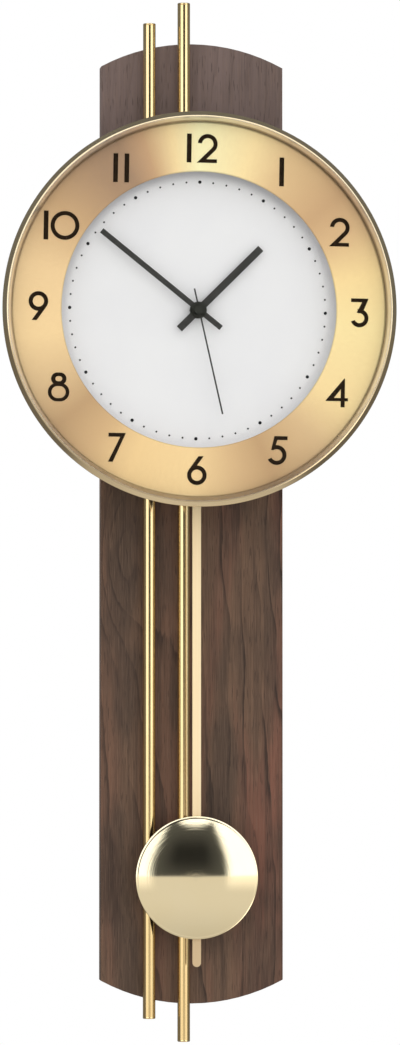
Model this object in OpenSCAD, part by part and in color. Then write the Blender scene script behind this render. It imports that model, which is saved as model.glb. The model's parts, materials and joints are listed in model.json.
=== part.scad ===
// Radio-controlled pendulum wall clock.
// Millimetres, Z up, the wall is the plane y = 0 and the clock faces -Y.
// The origin is the centre of the keyhole in the hanger plate, on the wall.
// A depth is a distance in front of the wall, so depth 10 is y = -10.

/* [Back board] */
// Width of the board
board_w = 116.6; // [100:1:150]
// Height of the board between its corners
board_h = 584; // [480:2:640]
// Thickness of the board
board_t = 14; // [12:1:20]
// Radius of the arched ends
board_end_r = 122; // [100:1:200]
// Height of the board's upper corners above the hanger hole
board_top = 28.6; // [28:0.2:40]
// Width of the window behind the battery and the buttons
window_w = 27; // [24:1:32]
// Height of the window
window_h = 84; // [78:1:90]

/* [Wall fixing] */
// Thickness of the hanger plate and of the wall bumpers
hanger_t = 1.5; // [1:0.1:2]
// Half width of the hanger plate
hanger_half_w = 10; // [8:0.5:12]
// Radius of the keyhole that the screw head passes
keyhole_r = 4.5; // [4:0.1:5]
// Width of the keyhole's slot
keyhole_slot_w = 4.4; // [3:0.1:4.6]
// Length of the keyhole's slot
keyhole_slot_l = 9; // [7:0.5:11]
// Depth of the pocket for the head of the wall screw
pocket_t = 6; // [4:0.5:8]
// Radius of a wall bumper
bumper_r = 6; // [4:0.5:8]

/* [Tubes] */
// Radius of the brass tubes
tube_r = 4; // [3.5:0.1:5]
// Wall of the tubes
tube_wall = 1; // [0.8:0.1:1.4]
// Sideways place of the left tube
left_tube_x = -28; // [-32:0.5:-24]
// Sideways place of the right tube
right_tube_x = -5.9; // [-8:0.1:-5]
// Height of the left tube's top above the hanger hole
left_tube_top = 55.5; // [40:0.5:80]
// Length of the left tube
left_tube_l = 634.7; // [600:0.5:680]
// How far the right tube stands above the left one
right_tube_above = 13.4; // [5:0.2:20]
// How far the right tube reaches below the left one
right_tube_below = 14.7; // [5:0.1:20]
// Gap between board and tubes
tube_gap = 2; // [1.5:0.1:3]
// Length of the plug of a tube cap
cap_plug_l = 5; // [3:0.5:8]
// Radius of a tube saddle
saddle_r = 3.4; // [3:0.1:3.8]

/* [Head] */
// Drop from the hanger hole to the axis of the hands
hand_drop = 130; // [120:1:134]
// Outer radius of the bezel
head_r = 124.8; // [115:0.2:135]
// Gap between the board and the back of the pan
head_gap = 22; // [20:0.5:26]
// Thickness of the pan
shell_t = 2; // [1.6:0.1:2.5]
// Radial width of the pan's slope between its back and its flange
shell_slope_w = 9.1; // [6:0.1:14]
// Height of the pillars between pan and dial
dial_stand = 11; // [10:0.5:13]
// Radius of a spacer behind the head
spacer_r = 5; // [4.5:0.1:6]
// Sideways place of the spacers
spacer_x = 44; // [40:0.5:46]
// Spacers above and below the axis of the hands
spacer_z = 62; // [58:0.5:70]

/* [Bezel and glass] */
// Radial width of the bezel behind its front
skirt_w = 4.1; // [3.9:0.1:5]
// How far the skirt narrows towards its back edge
skirt_taper = 1.4; // [0.8:0.1:1.4]
// Height of the bezel's front above the glass
lip_h = 6; // [4:0.5:8]
// Slope of the inner bevel, as a radial width
bevel_w = 2.7; // [2:0.1:3.5]
// Width of the bezel's outer chamfer
bezel_chamfer_w = 2.7; // [1.5:0.1:2.7]
// Thickness of the glass
glass_t = 2; // [1.5:0.1:3]
// Thickness of the gasket behind the glass
gasket_t = 1; // [0.6:0.1:1.5]

/* [Dial] */
// Thickness of the dial plate
dial_t = 1.5; // [1:0.1:2]
// Depth of the dial behind the numeral ring
dial_well = 8.5; // [8:0.1:10]
// Width of the numeral ring that shows
ring_w = 31.3; // [28:0.1:34]
// Thickness of the numeral ring
ring_t = 1.5; // [1:0.1:2]
// Radius of the fillet between the dial and its rim
dial_fillet = 4; // [2:0.5:4.5]
// Clockwise turn of the printing, in degrees
dial_turn = 0.9; // [0:0.1:2]
// From the outer edge of the ring that shows to the circle of the numerals
numeral_inset = 16.7; // [14:0.1:18]
// Height of the numerals
numeral_h = 18.2; // [14:0.2:20]
// Stroke of the numerals
numeral_stroke = 2.6; // [2:0.1:3]
// Thickness of the printing
print_t = 0.15; // [0.1:0.05:0.3]
// From the opening in the numeral ring to the circle of the minute dots
dot_inset = 5.9; // [5.5:0.1:10]
// Radius of an hour dot
hour_dot_r = 1.05; // [0.8:0.05:1.5]
// Radius of a minute dot
minute_dot_r = 0.6; // [0.4:0.05:0.8]

/* [Hands] */
// Thickness of the hour and minute hands
hand_t = 0.6; // [0.4:0.1:0.8]
// From the tip of the hour hand to the circle of the dots
hour_tip_gap = 25.5; // [18:0.5:36]
// Width of the hour hand
hour_w = 4.6; // [3:0.1:6]
// Tail of the hour hand
hour_tail = 17.1; // [8:0.5:22]
// Angle of the hour hand, clockwise from 12
hour_angle = 45.3; // [0:0.1:360]
// From the tip of the minute hand to the circle of the dots
minute_tip_gap = 2.2; // [0:0.2:12]
// Width of the minute hand
minute_w = 3.4; // [2:0.1:4.5]
// Tail of the minute hand
minute_tail = 18.2; // [8:0.5:24]
// Angle of the minute hand, clockwise from 12
minute_angle = 308.9; // [0:0.1:360]
// From the tip of the second hand to the circle of the dots
second_tip_gap = 13.6; // [0:0.2:20]
// Width of the second hand
second_w = 1; // [0.6:0.1:1.5]
// Tail of the second hand
second_tail = 13.6; // [8:0.5:22]
// Angle of the second hand, clockwise from 12
second_angle = 167.3; // [0:0.1:360]
// Radius of the hour hand's boss
hour_boss_r = 5.3; // [4.5:0.1:6]
// Radius of the minute hand's boss
minute_boss_r = 4.4; // [3.5:0.1:5]
// Radius of the second hand's hub
second_boss_r = 3.1; // [2.5:0.1:4]
// Step in depth from one hand to the next
hand_step = 2.3; // [2:0.1:2.3]

/* [Movement] */
// Half width of the movement case
case_half_w = 28; // [27.5:0.1:28.5]
// Top of the case above the hands' axis
case_top = 28; // [28:0.5:29]
// Bottom of the case below the hands' axis
case_bottom = 46; // [46:0.5:47]
// Wall of the case
case_wall = 1.5; // [1.3:0.1:1.5]
// Depth of the gear space inside the case
gear_space = 10; // [10:0.1:10.5]
// Thickness of the washer between movement and dial
rubber_t = 1; // [0.8:0.1:1.2]
// Left side of the battery bay
bay_left = 9.5; // [9.4:0.1:9.8]
// How far the battery bay stands out of the case
bay_extra = 5; // [4.8:0.1:5.5]
// Radius of the cell
cell_r = 7.1; // [6.9:0.05:7.1]
// Length of the cell's body
cell_l = 49.2; // [48:0.2:49.4]
// Outer radius of the threaded bush
bush_r = 4; // [3.6:0.1:4.2]
// Outer radius of the hour pipe
hour_pipe_r = 2.55; // [2.3:0.05:2.6]
// Outer radius of the minute pipe
minute_pipe_r = 1.55; // [1.4:0.05:1.6]
// Radius of the second arbor
second_arbor_r = 0.5; // [0.4:0.05:0.6]
// Radius of the post of the motion wheel
post_r = 0.6; // [0.5:0.05:0.8]
// Radius of the posts of the transfer wheels and rotors
train_post_r = 0.4; // [0.35:0.05:0.45]
// Radial clearance of a running fit
running_fit = 0.05; // [0.03:0.01:0.08]
// Axial clearance between turning parts
end_float = 0.2; // [0.15:0.05:0.25]

/* [Gears] */
// Module of the cannon pinion and the motion wheel
motion_module = 0.4375; // [0.42:0.0025:0.4375]
// Module of both stepper trains
train_module = 0.3; // [0.28:0.01:0.3]
// Thickness of a wheel
wheel_t = 0.8; // [0.6:0.1:0.8]
// Thickness of a pinion
pinion_t = 1.2; // [1:0.1:1.2]
// Direction of the motion wheel from the hands' axis, in degrees from +X
motion_dir = 120; // [115:1:125]
// Direction of the minute transfer wheel
minute_train_dir = 240; // [235:1:245]
// Direction of the second transfer wheel
second_train_dir = 150; // [148:1:152]
// Radius of a rotor magnet
rotor_r = 2.2; // [1.8:0.1:2.3]

/* [Buttons] */
// Radius of a button
button_r = 2.2; // [1.8:0.1:2.5]
// How far a button stands out of the case
button_out = 1.6; // [1.4:0.1:2.5]
// Travel of a button
button_travel = 1.2; // [0.8:0.1:1.2]

/* [Pendulum] */
// Sideways place of the pendulum's pivot
pendulum_x = 1.2; // [0:0.1:1.5]
// Height of the pivot above the hands' axis
pivot_up = 12; // [8:0.5:14]
// Radius of the pivot pin
pivot_r = 1; // [0.8:0.05:1.2]
// Width of the hanger arm
hanger_arm_w = 7; // [6:0.2:7.4]
// Thickness of the hanger arm
hanger_arm_t = 1.5; // [1.2:0.1:1.8]
// Drop from the hands' axis to the hook that carries the bar
hook_drop = 51; // [50:0.5:56]
// Radius of the hook peg
hook_r = 1.5; // [1.2:0.1:1.6]
// Width of the pendulum bar
bar_w = 5.4; // [5:0.1:6.5]
// Thickness of the pendulum bar
bar_t = 1.2; // [1:0.1:1.5]
// Drop from the hands' axis to the bar's end
bar_end_drop = 415.8; // [400:0.5:440]

/* [Bob] */
// Radius of the bob
bob_r = 39; // [34:0.5:44]
// Height of the dome
bob_dome = 5; // [4:0.5:12]
// Wall of the dome
bob_wall = 0.8; // [0.6:0.1:1.2]
// Width of the flat rim
bob_rim = 1.2; // [0.8:0.1:2]
// Drop from the hands' axis to the bob's centre
bob_drop = 359.2; // [340:0.2:370]

/* [Hidden] */
$fn = 96;

// Small gaps between pieces of one body
seat_gap = 0.05;
loose_gap = 0.3;
// A cut runs this far past a face
cut_past = 1;

// Depths of the faces in front of the wall
d_board = hanger_t;
d_board_front = d_board + board_t;
d_tube = d_board_front + tube_gap + tube_r;
d_shell = d_board_front + head_gap;
d_shell_in = d_shell + shell_t;
d_dial = d_shell_in + dial_stand;
d_dial_front = d_dial + dial_t;
d_ring = d_dial_front + dial_well;
d_ring_front = d_ring + ring_t;
d_glass = d_ring_front + gasket_t;
d_glass_front = d_glass + glass_t;
d_front = d_glass_front + lip_h;

// Heights in the hanger's frame
hand_z = -hand_drop;
board_bottom = board_top - board_h;
window_x = bay_left - 3;
window_z = hand_z + case_top + 4 - window_h;

// Wall fixing
hanger_screw_z = [-keyhole_r - 7.5, keyhole_slot_l + 13];
wood_screw_r = 1.4;
wood_screw_head_r = 2.8;
wood_screw_l = 10;
bumper_x = board_w / 2 - bumper_r - 5;
bumper_z = [board_top - bumper_r - 11, board_bottom + bumper_r + 9];

// Tubes: each is {x, top, length}
tubes = [
  [left_tube_x, left_tube_top, left_tube_l],
  [right_tube_x, left_tube_top + right_tube_above, left_tube_l + right_tube_above + right_tube_below]
];
saddle_z = [hand_z + head_r - 30, hand_z - head_r - 35, board_bottom + 25];
tube_cap_t = 1.3;
tube_cap_chamfer = 0.5;
tube_screw_r = 1.5;
tube_screw_head_r = 3;
tube_screw_head_h = 2;
recess_t = 3;

// Head fixing
head_screw_r = 2;
head_screw_head_r = 3.8;
head_screw_head_h = 2.4;
boss_r = 5;
boss_h = 6;
pillar_r = 3;
pillar_x = 58;
pillar_z = 40;

// Head rings, as radii from the hands' axis
skirt_in_r = head_r - skirt_w;
ledge_r = skirt_in_r - loose_gap;
ledge_w = 3.3;
glass_r = ledge_r - 0.4;
lip_r = glass_r - 1.5;
flange_t = 1.5;
flange_r = head_r - skirt_taper - 0.3;
d_skirt = d_ring - 5.5;
d_flange = d_skirt - flange_t;
shell_cone_r = ledge_r - ledge_w - 4;
shell_back_r = shell_cone_r - shell_slope_w;
opening_r = lip_r - ring_w;
numeral_circle_r = lip_r - numeral_inset;
dot_circle_r = opening_r - dot_inset;
hour_l = dot_circle_r - hour_tip_gap;
minute_l = dot_circle_r - minute_tip_gap;
second_l = dot_circle_r - second_tip_gap;
dial_wall_in = opening_r + 1;
dial_wall_t = 1.3;
bezel_screw_count = 6;
bezel_screw_r = 0.8;
bezel_screw_head_r = 1.1;
bezel_screw_head_h = 0.9;
bezel_screw_circle = (skirt_in_r + head_r - skirt_taper) / 2;
bezel_screw_l = 4;

// Movement depths
d_case_front = d_dial - rubber_t;
d_base_in = d_case_front - case_wall;
d_cover_in = d_base_in - gear_space;
d_case = d_cover_in - case_wall;
d_bay = d_case - bay_extra;
bush_l = 5.7;
d_bush_end = d_case_front + bush_l;
bay_in = bay_left + 1;
bay_right_in = case_half_w - case_wall;
bay_end = case_top - case_wall;
cell_x = (bay_in + bay_right_in) / 2;
d_cell = d_base_in - 0.8 - cell_r;
nut_t = 2.2;
nut_af = 9.6;
washer_t = 0.4;
washer_r = 5.2;

// Wheels: tooth counts
cannon_teeth = 12;
motion_teeth = 36;
motion_pinion_teeth = 12;
hour_teeth = 48;
transfer_pinion_teeth = 8;
transfer_teeth = 40;
centre_teeth = 48;
rotor_teeth = 8;
tooth_tip = 0.7;
tooth_root = 1.15;
tooth_half_root = 0.22;
tooth_half_tip = 0.1;

// Distances between arbors; the hour wheel's module follows from the shared distance
motion_dist = motion_module * (cannon_teeth + motion_teeth) / 2;
hour_module = 2 * motion_dist / (hour_teeth + motion_pinion_teeth);
transfer_dist = train_module * (centre_teeth + transfer_pinion_teeth) / 2;
rotor_dist = train_module * (transfer_teeth + rotor_teeth) / 2;
function polar(r, a) = [r * cos(a), r * sin(a)];
motion_at = polar(motion_dist, motion_dir);
minute_transfer_at = polar(transfer_dist, minute_train_dir);
minute_rotor_at = polar(transfer_dist + rotor_dist, minute_train_dir);
second_transfer_at = polar(transfer_dist, second_train_dir);
second_rotor_at = polar(transfer_dist + rotor_dist, second_train_dir);

// Depths of the wheels inside the gear space, counted from the cover's inner face
d_second_transfer = d_cover_in + 1.4;
d_second_pinion = d_second_transfer + wheel_t + 0.4;
d_second_wheel = d_second_pinion + 0.2;
d_minute_transfer = d_second_pinion + pinion_t + 0.2;
d_minute_pinion = d_minute_transfer + wheel_t + 0.4;
d_minute_wheel = d_minute_pinion + 0.2;
d_cannon = d_minute_wheel + wheel_t + 0.6;
d_motion = d_cannon + 0.2;
d_hour = d_base_in - end_float - wheel_t - 0.2;
post_cap = 0.4;
d_magnet_second = d_second_pinion + 0.6;
d_magnet_minute = d_cover_in + 1.3;
magnet_h = 2;
stator_t = 0.8;
stator_hole_r = rotor_r + 0.7;
d_stator_second = d_magnet_second + (magnet_h - stator_t) / 2;
d_stator_minute = d_magnet_minute + (magnet_h - stator_t) / 2;
stator_left = -12.3;
stator_right = 4;
stator_half_h = 3.9;
stator_leg_w = 2;
stator_post_r = 1.2;
stator_post_x = [-10.6, -5.8];
coil_r = 2.2;
coil_l = 11;
coil_up = 9;
core_half_h = 0.8;

// Hands: each plate's back face
d_hour_hand = d_bush_end + 0.4;
d_minute_hand = d_hour_hand + hand_step;
d_second_hand = d_minute_hand + hand_step;
second_hand_t = 0.3;
hub_cap_t = 0.6;

// Pendulum depths
hanger_gap = 0.5;
d_arm = d_case - hanger_gap - hanger_arm_t;
d_bar = d_arm - loose_gap - bar_t;
pin_head_t = 0.7;
d_pin_head = d_bar - 0.4 - pin_head_t;
d_bob = d_bar + bar_t + 0.2;
bob_back_t = 1;
magnet_r = 2.6;
magnet_drop = 38;
coil_outer_r = 5.5;
coil_inner_r = 1.5;
drive_coil_h = 4;
bob_cap_r = bob_r - bob_rim;
bob_sphere_r = (bob_cap_r * bob_cap_r + bob_dome * bob_dome) / (2 * bob_dome);
d_bob_rim = d_bob + bob_back_t + bob_wall;
d_bob_apex = d_bob_rim + bob_dome;

// Electronics
pcb_t = 1.2;
d_pcb = d_base_in - 3.3 - pcb_t;
pcb_gap = 0.6;
pcb_top = -case_top - 1;
chip_size = 6;
chip_t = 1;
chip_x = -12;
crystal_r = 1;
crystal_l = 6;
crystal_x = 8;
switch_size = 6;
switch_gap = 0.4;
button_x = [13.5, 22];
button_drop = 37;
button_flange_r = 3;
button_flange_t = 0.8;
switch_t = d_pcb - d_cover_in - loose_gap - button_flange_t - button_travel - switch_gap;
pcb_post_r = 1.5;
pcb_post_x = 23;
antenna_r = 2;
antenna_winding_r = 2.6;
antenna_z = case_top - case_wall - antenna_winding_r - 0.5;
d_antenna = d_cover_in + antenna_winding_r + 0.9;
antenna_l = 30;
antenna_x = bay_left - 2.5 - antenna_l / 2 - 1;

// Numeral outlines are drawn 18 units high
font_h = 18;
pen = numeral_stroke * font_h / numeral_h;

// Moves children to the axis of the hands
module on_hands() {
  translate([0, 0, hand_z]) children();
}

// Extrudes an XZ outline towards the front, from depth d over thickness t
module slab(d, t) {
  translate([0, -d, 0]) rotate([90, 0, 0]) linear_extrude(height = t) children();
}

// Turns a profile of [radius, depth] points about the Y axis
module spun() {
  rotate([90, 0, 0]) rotate_extrude() children();
}

// A round bar along the depth, from depth d over length l
module rod(r, d, l, r_front = undef) {
  translate([0, -d, 0]) rotate([90, 0, 0]) cylinder(h = l, r1 = r, r2 = is_undef(r_front) ? r : r_front);
}

module at(x, z) {
  translate([x, 0, z]) children();
}

module washer_2d(ro, ri) {
  difference() {
    circle(ro);
    circle(ri);
  }
}

// A box outline from corner [x0, z0] to corner [x1, z1]
module rect(x0, z0, x1, z1) {
  translate([x0, z0]) square([x1 - x0, z1 - z0]);
}

// An upright slot outline between two centres
module upright_slot(r, z0, z1) {
  translate([-r, z0]) square([2 * r, z1 - z0]);
  translate([0, z0]) circle(r);
  translate([0, z1]) circle(r);
}

// Back board

module arched_outline() {
  sagitta = board_end_r - sqrt(board_end_r * board_end_r - board_w * board_w / 4);
  rect(-board_w / 2, board_bottom, board_w / 2, board_top);
  intersection() {
    translate([0, board_top + sagitta - board_end_r]) circle(board_end_r);
    rect(-board_w / 2, board_top - 1, board_w / 2, board_top + sagitta + 1);
  }
  intersection() {
    translate([0, board_bottom - sagitta + board_end_r]) circle(board_end_r);
    rect(-board_w / 2, board_bottom - sagitta - 1, board_w / 2, board_bottom + 1);
  }
}

module each_spacer() {
  for (sx = [-1, 1])
    for (sz = [-1, 1])
      at(sx * spacer_x, hand_z + sz * spacer_z) children();
}

module each_saddle() {
  for (tube = tubes)
    for (z = saddle_z)
      at(tube[0], z) children();
}

module back_panel() {
  color([0.36, 0.27, 0.21])
  difference() {
    slab(d_board, board_t) arched_outline();
    slab(d_board - cut_past, board_t + 2 * cut_past)
      rect(window_x, window_z, window_x + window_w, window_z + window_h);
    slab(d_board - cut_past, cut_past + pocket_t) upright_slot(keyhole_r + 1.5, 0, keyhole_slot_l);
    for (z = hanger_screw_z)
      at(0, z) rod(wood_screw_r + seat_gap, d_board - cut_past, wood_screw_l + cut_past);
    each_spacer() {
      rod(head_screw_r + seat_gap, d_board - cut_past, board_t + 2 * cut_past);
      rod(head_screw_head_r + 0.2, d_board - cut_past, recess_t + cut_past);
    }
    each_saddle() {
      rod(tube_screw_r + seat_gap, d_board - cut_past, board_t + 2 * cut_past);
      rod(tube_screw_head_r + 0.2, d_board - cut_past, recess_t + cut_past);
    }
  }
}

// Wall fixing

module hanger_plate() {
  color([0.75, 0.76, 0.78])
  difference() {
    slab(0, hanger_t) upright_slot(hanger_half_w, hanger_screw_z[0], hanger_screw_z[1]);
    rod(keyhole_r, -cut_past, hanger_t + 2 * cut_past);
    slab(-cut_past, hanger_t + 2 * cut_past) upright_slot(keyhole_slot_w / 2, 0, keyhole_slot_l);
    for (z = hanger_screw_z)
      at(0, z) {
        rod(wood_screw_r + seat_gap, -cut_past, hanger_t + 2 * cut_past);
        rod(wood_screw_head_r + seat_gap, 0, wood_screw_head_r - wood_screw_r, wood_screw_r + seat_gap);
      }
  }
}

module hanger_screws() {
  color([0.8, 0.8, 0.82])
  for (z = hanger_screw_z)
    at(0, z) {
      rod(wood_screw_head_r, 0, wood_screw_head_r - wood_screw_r, wood_screw_r);
      rod(wood_screw_r, 0, wood_screw_l);
    }
}

module wall_bumpers() {
  color([0.12, 0.12, 0.12])
  for (sx = [-1, 1])
    for (z = bumper_z)
      at(sx * bumper_x, z) rod(bumper_r - 0.5, 0, hanger_t, bumper_r);
}

// Tubes

module hollow_tube(tube) {
  color([0.86, 0.72, 0.42])
  difference() {
    translate([tube[0], -d_tube, tube[1] - tube[2] + tube_cap_t])
      cylinder(h = tube[2] - 2 * tube_cap_t, r = tube_r);
    translate([tube[0], -d_tube, tube[1] - tube[2]]) cylinder(h = tube[2], r = tube_r - tube_wall);
    for (z = saddle_z)
      at(tube[0], z) rod(tube_screw_r + seat_gap, d_tube - tube_r - cut_past, tube_r + cut_past);
  }
}

module left_tube() {
  hollow_tube(tubes[0]);
}

module right_tube() {
  hollow_tube(tubes[1]);
}

// The plug points down, its chamfered head up
module tube_cap() {
  plug_r = tube_r - tube_wall - seat_gap;
  rotate_extrude() polygon([
    [0, -cap_plug_l], [plug_r, -cap_plug_l], [plug_r, 0], [tube_r, 0],
    [tube_r, tube_cap_t - tube_cap_chamfer], [tube_r - tube_cap_chamfer, tube_cap_t], [0, tube_cap_t]
  ]);
}

module tube_caps() {
  color([0.86, 0.72, 0.42])
  for (tube = tubes) {
    translate([tube[0], -d_tube, tube[1] - tube_cap_t]) tube_cap();
    translate([tube[0], -d_tube, tube[1] - tube[2] + tube_cap_t]) rotate([180, 0, 0]) tube_cap();
  }
}

module tube_saddles() {
  color([0.7, 0.6, 0.35])
  each_saddle()
    difference() {
      rod(saddle_r, d_board_front, tube_gap + 0.8);
      rod(tube_screw_r + seat_gap, d_board_front - cut_past, tube_gap + 2 * cut_past);
      translate([0, -d_tube, -2 * tube_r]) cylinder(h = 4 * tube_r, r = tube_r + seat_gap);
    }
}

module tube_screws() {
  color([0.75, 0.75, 0.77])
  each_saddle() {
    rod(tube_screw_head_r, d_board + recess_t - tube_screw_head_h, tube_screw_head_h);
    rod(tube_screw_r, d_board + recess_t - 0.5, d_tube - tube_r + tube_wall + 0.8 - d_board - recess_t + 0.5);
  }
}

// Head

module head_spacers() {
  color([0.3, 0.3, 0.32])
  each_spacer()
    difference() {
      rod(spacer_r, d_board_front, head_gap);
      rod(head_screw_r + seat_gap, d_board_front - cut_past, head_gap + 2 * cut_past);
    }
}

module head_screws() {
  color([0.75, 0.75, 0.77])
  each_spacer() {
    rod(head_screw_head_r, d_board + recess_t - head_screw_head_h, head_screw_head_h);
    rod(head_screw_r, d_board + recess_t - 0.5, d_shell_in + boss_h - 2 - d_board - recess_t + 0.5);
  }
}

module each_bezel_screw() {
  for (i = [0:bezel_screw_count - 1])
    rotate([0, i * 360 / bezel_screw_count + 30, 0]) translate([bezel_screw_circle, 0, 0]) children();
}

module rear_shell() {
  color([0.15, 0.14, 0.13])
  difference() {
    union() {
      on_hands() spun() polygon([
        [0, d_shell], [shell_back_r, d_shell], [shell_cone_r + shell_t, d_flange], [flange_r, d_flange],
        [flange_r, d_skirt], [ledge_r, d_skirt], [ledge_r, d_ring], [ledge_r - ledge_w, d_ring],
        [ledge_r - ledge_w, d_skirt], [shell_cone_r, d_skirt], [shell_back_r - shell_t, d_shell_in], [0, d_shell_in]
      ]);
      each_spacer() rod(boss_r, d_shell, shell_t + boss_h);
      on_hands()
        for (sx = [-1, 1])
          for (sz = [-1, 1])
            at(sx * pillar_x, sz * pillar_z) rod(pillar_r, d_shell, d_dial - d_shell);
    }
    on_hands() {
      slab(d_shell - cut_past, shell_t + 2 * cut_past)
        rect(-case_half_w - 0.5, -case_bottom - 0.5, case_half_w + 0.5, case_top + 0.5);
      each_bezel_screw() rod(bezel_screw_r + seat_gap, d_flange - cut_past, flange_t + 2 * cut_past);
    }
    each_spacer() rod(head_screw_r + seat_gap, d_shell - cut_past, shell_t + boss_h - 1 + cut_past);
  }
}

module bezel() {
  land_in = lip_r + bevel_w;
  narrow_w = head_r - bezel_chamfer_w - land_in;
  narrow_h = narrow_w * tan(24);
  chamfer_h = bezel_chamfer_w * tan(42);
  color([0.9, 0.82, 0.62])
  on_hands() difference() {
    spun() polygon([
      [skirt_in_r, d_skirt], [head_r - skirt_taper, d_skirt], [head_r, d_front - narrow_h - chamfer_h],
      [land_in + narrow_w, d_front - narrow_h], [land_in, d_front], [lip_r, d_glass_front],
      [skirt_in_r, d_glass_front]
    ]);
    each_bezel_screw() rod(bezel_screw_r + 0.02, d_skirt - cut_past, cut_past + bezel_screw_l + 0.5);
  }
}

module bezel_screws() {
  color([0.75, 0.75, 0.77])
  on_hands() each_bezel_screw() {
    rod(bezel_screw_head_r, d_flange - bezel_screw_head_h, bezel_screw_head_h);
    rod(bezel_screw_r, d_flange - 0.3, bezel_screw_l + flange_t + 0.3);
  }
}

module glass() {
  color([0.85, 0.92, 0.95, 0.3])
  on_hands() slab(d_glass, glass_t) circle(glass_r);
}

module glass_gasket() {
  color([0.1, 0.1, 0.1])
  on_hands() slab(d_ring_front, gasket_t) washer_2d(glass_r, lip_r + 0.2);
}

// Dial

module numeral_ring() {
  color([0.88, 0.72, 0.46])
  on_hands() slab(d_ring, ring_t) washer_2d(glass_r, opening_r);
}

module dial_plate() {
  wall_out = dial_wall_in + dial_wall_t;
  color([0.93, 0.93, 0.93])
  on_hands() difference() {
    spun() difference() {
      rect(0, d_dial, wall_out, d_ring);
      rect(-1, d_dial_front, dial_wall_in - dial_fillet, d_ring + 1);
      rect(dial_wall_in - dial_fillet - 1, d_dial_front + dial_fillet, dial_wall_in, d_ring + 1);
      translate([dial_wall_in - dial_fillet, d_dial_front + dial_fillet]) circle(dial_fillet);
    }
    rod(bush_r + 0.15, d_dial - cut_past, dial_t + 2 * cut_past);
  }
}

// Places children at an angle clockwise from 12 on a circle, upright on the turned dial
module around_dial(r, a) {
  rotate([0, dial_turn, 0]) translate([r * sin(a), 0, r * cos(a)]) children();
}

module hour_dots() {
  color([0.16, 0.15, 0.14])
  on_hands() for (i = [0:11])
    around_dial(dot_circle_r, i * 30) rod(hour_dot_r, d_dial_front, print_t);
}

module minute_dots() {
  color([0.16, 0.15, 0.14])
  on_hands() for (i = [0:59])
    if (i % 5 != 0) around_dial(dot_circle_r, i * 6) rod(minute_dot_r, d_dial_front, print_t);
}

// Numerals

// A sector of a ring stroke, from angle a0 to a1 in degrees from +X
module arc_stroke(ro, a0, a1) {
  steps = ceil((a1 - a0) / 30);
  intersection() {
    washer_2d(ro, ro - pen);
    polygon(concat([[0, 0]], [for (i = [0:steps]) polar(1.3 * ro, a0 + (a1 - a0) * i / steps)]));
  }
}

module figure_0() {
  washer_2d(font_h / 2, font_h / 2 - pen);
}

module figure_1() {
  stem = pen + 0.35;
  square([stem, font_h], center = true);
}

module figure_2() {
  bowl_r = 6.2;
  bowl_x = 0.3;
  bowl_z = font_h / 2 - bowl_r;
  base_t = pen - 0.3;
  slant = sqrt(0.5);
  inner = [bowl_x + (bowl_r - pen) * slant, bowl_z - (bowl_r - pen) * slant];
  outer = [bowl_x + bowl_r * slant, bowl_z - bowl_r * slant];
  foot = -font_h / 2;
  translate([bowl_x, bowl_z]) arc_stroke(bowl_r, -45, 175);
  polygon([inner, outer, [outer[0] - outer[1] + foot, foot], [inner[0] - inner[1] + foot, foot]]);
  rect(inner[0] - inner[1] + foot + base_t, foot, 6.2, foot + base_t);
}

module figure_3() {
  bowl_r = 5.7;
  bar_t = pen - 0.3;
  top = font_h / 2;
  translate([0, bowl_r - top]) arc_stroke(bowl_r, -158, 103);
  polygon([
    [-5.4, top], [5.4, top], [5.4, top - 0.6], [2, 0.3], [0.3, -0.1],
    [-1.6, 0], [-1.6, 0.5], [1.6, top - bar_t], [-5.4, top - bar_t]
  ]);
}

module figure_4() {
  top = font_h / 2;
  stem = 5;
  bar_low = -5.2;
  bar_high = bar_low + pen - 0.6;
  left = -7;
  difference() {
    polygon([[left, bar_low], [left, bar_low + 0.4], [stem - 0.5, top], [stem, top], [stem, bar_low]]);
    polygon([[-1.9, bar_high], [stem - pen, bar_high], [stem - pen, 2.3]]);
  }
  rect(stem - 0.1, bar_low, -left, bar_high);
  rect(stem - pen, -top, stem, bar_low + 0.1);
}

module figure_5() {
  bowl_r = 6.2;
  top = font_h / 2;
  bar_t = pen - 0.2;
  translate([-0.5, bowl_r - top]) arc_stroke(bowl_r, -152, 120);
  rect(-2, top - bar_t, 6.2, top);
  polygon([[-2, top], [0.6, top], [-1.4, 2.4], [-2.4, 0.2], [-4, 0.3]]);
}

// The leg runs tangent to the bowl's left side up to the cap line
module figure_6() {
  bowl_r = 6.1;
  lean = 55;
  top = font_h / 2;
  bowl_z = bowl_r - top;
  side = [-sin(lean), cos(lean)];
  start = [bowl_r * side[0], bowl_z + bowl_r * side[1]];
  reach = (top - start[1]) / sin(lean);
  tip = [start[0] + reach * cos(lean), top];
  translate([0, bowl_z]) washer_2d(bowl_r, bowl_r - pen);
  polygon([
    start, tip,
    [tip[0] + pen / sin(lean), top], [start[0] - pen * side[0], start[1] - pen * side[1]]
  ]);
}

module figure_7() {
  top = font_h / 2;
  bar_t = pen - 0.2;
  rect(-5.3, top - bar_t, 3, top);
  polygon([[5.3, top], [5.3, top - 0.6], [-2.4, -top], [-5.3, -top], [2.1, top - bar_t], [2.1, top]]);
}

// A round with straight stretches above and below, wider than it is high
module oval(half_w, half_h) {
  reach = half_w - half_h;
  for (side = [-1, 1]) translate([side * reach, 0]) circle(half_h);
  rect(-reach, -half_h, reach, half_h);
}

module oval_stroke(half_w, half_h, side_t, top_t) {
  difference() {
    oval(half_w, half_h);
    oval(half_w - side_t, half_h - top_t);
  }
}

module figure_8() {
  upper_h = 3.85;
  lower_h = 5.8;
  top = font_h / 2;
  translate([0, top - upper_h]) oval_stroke(4.8, upper_h, pen + 0.1, pen - 0.3);
  translate([0, lower_h - top]) oval_stroke(6.7, lower_h, pen - 0.3, pen - 0.5);
}

module figure_9() {
  rotate(180) figure_6();
}

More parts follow.
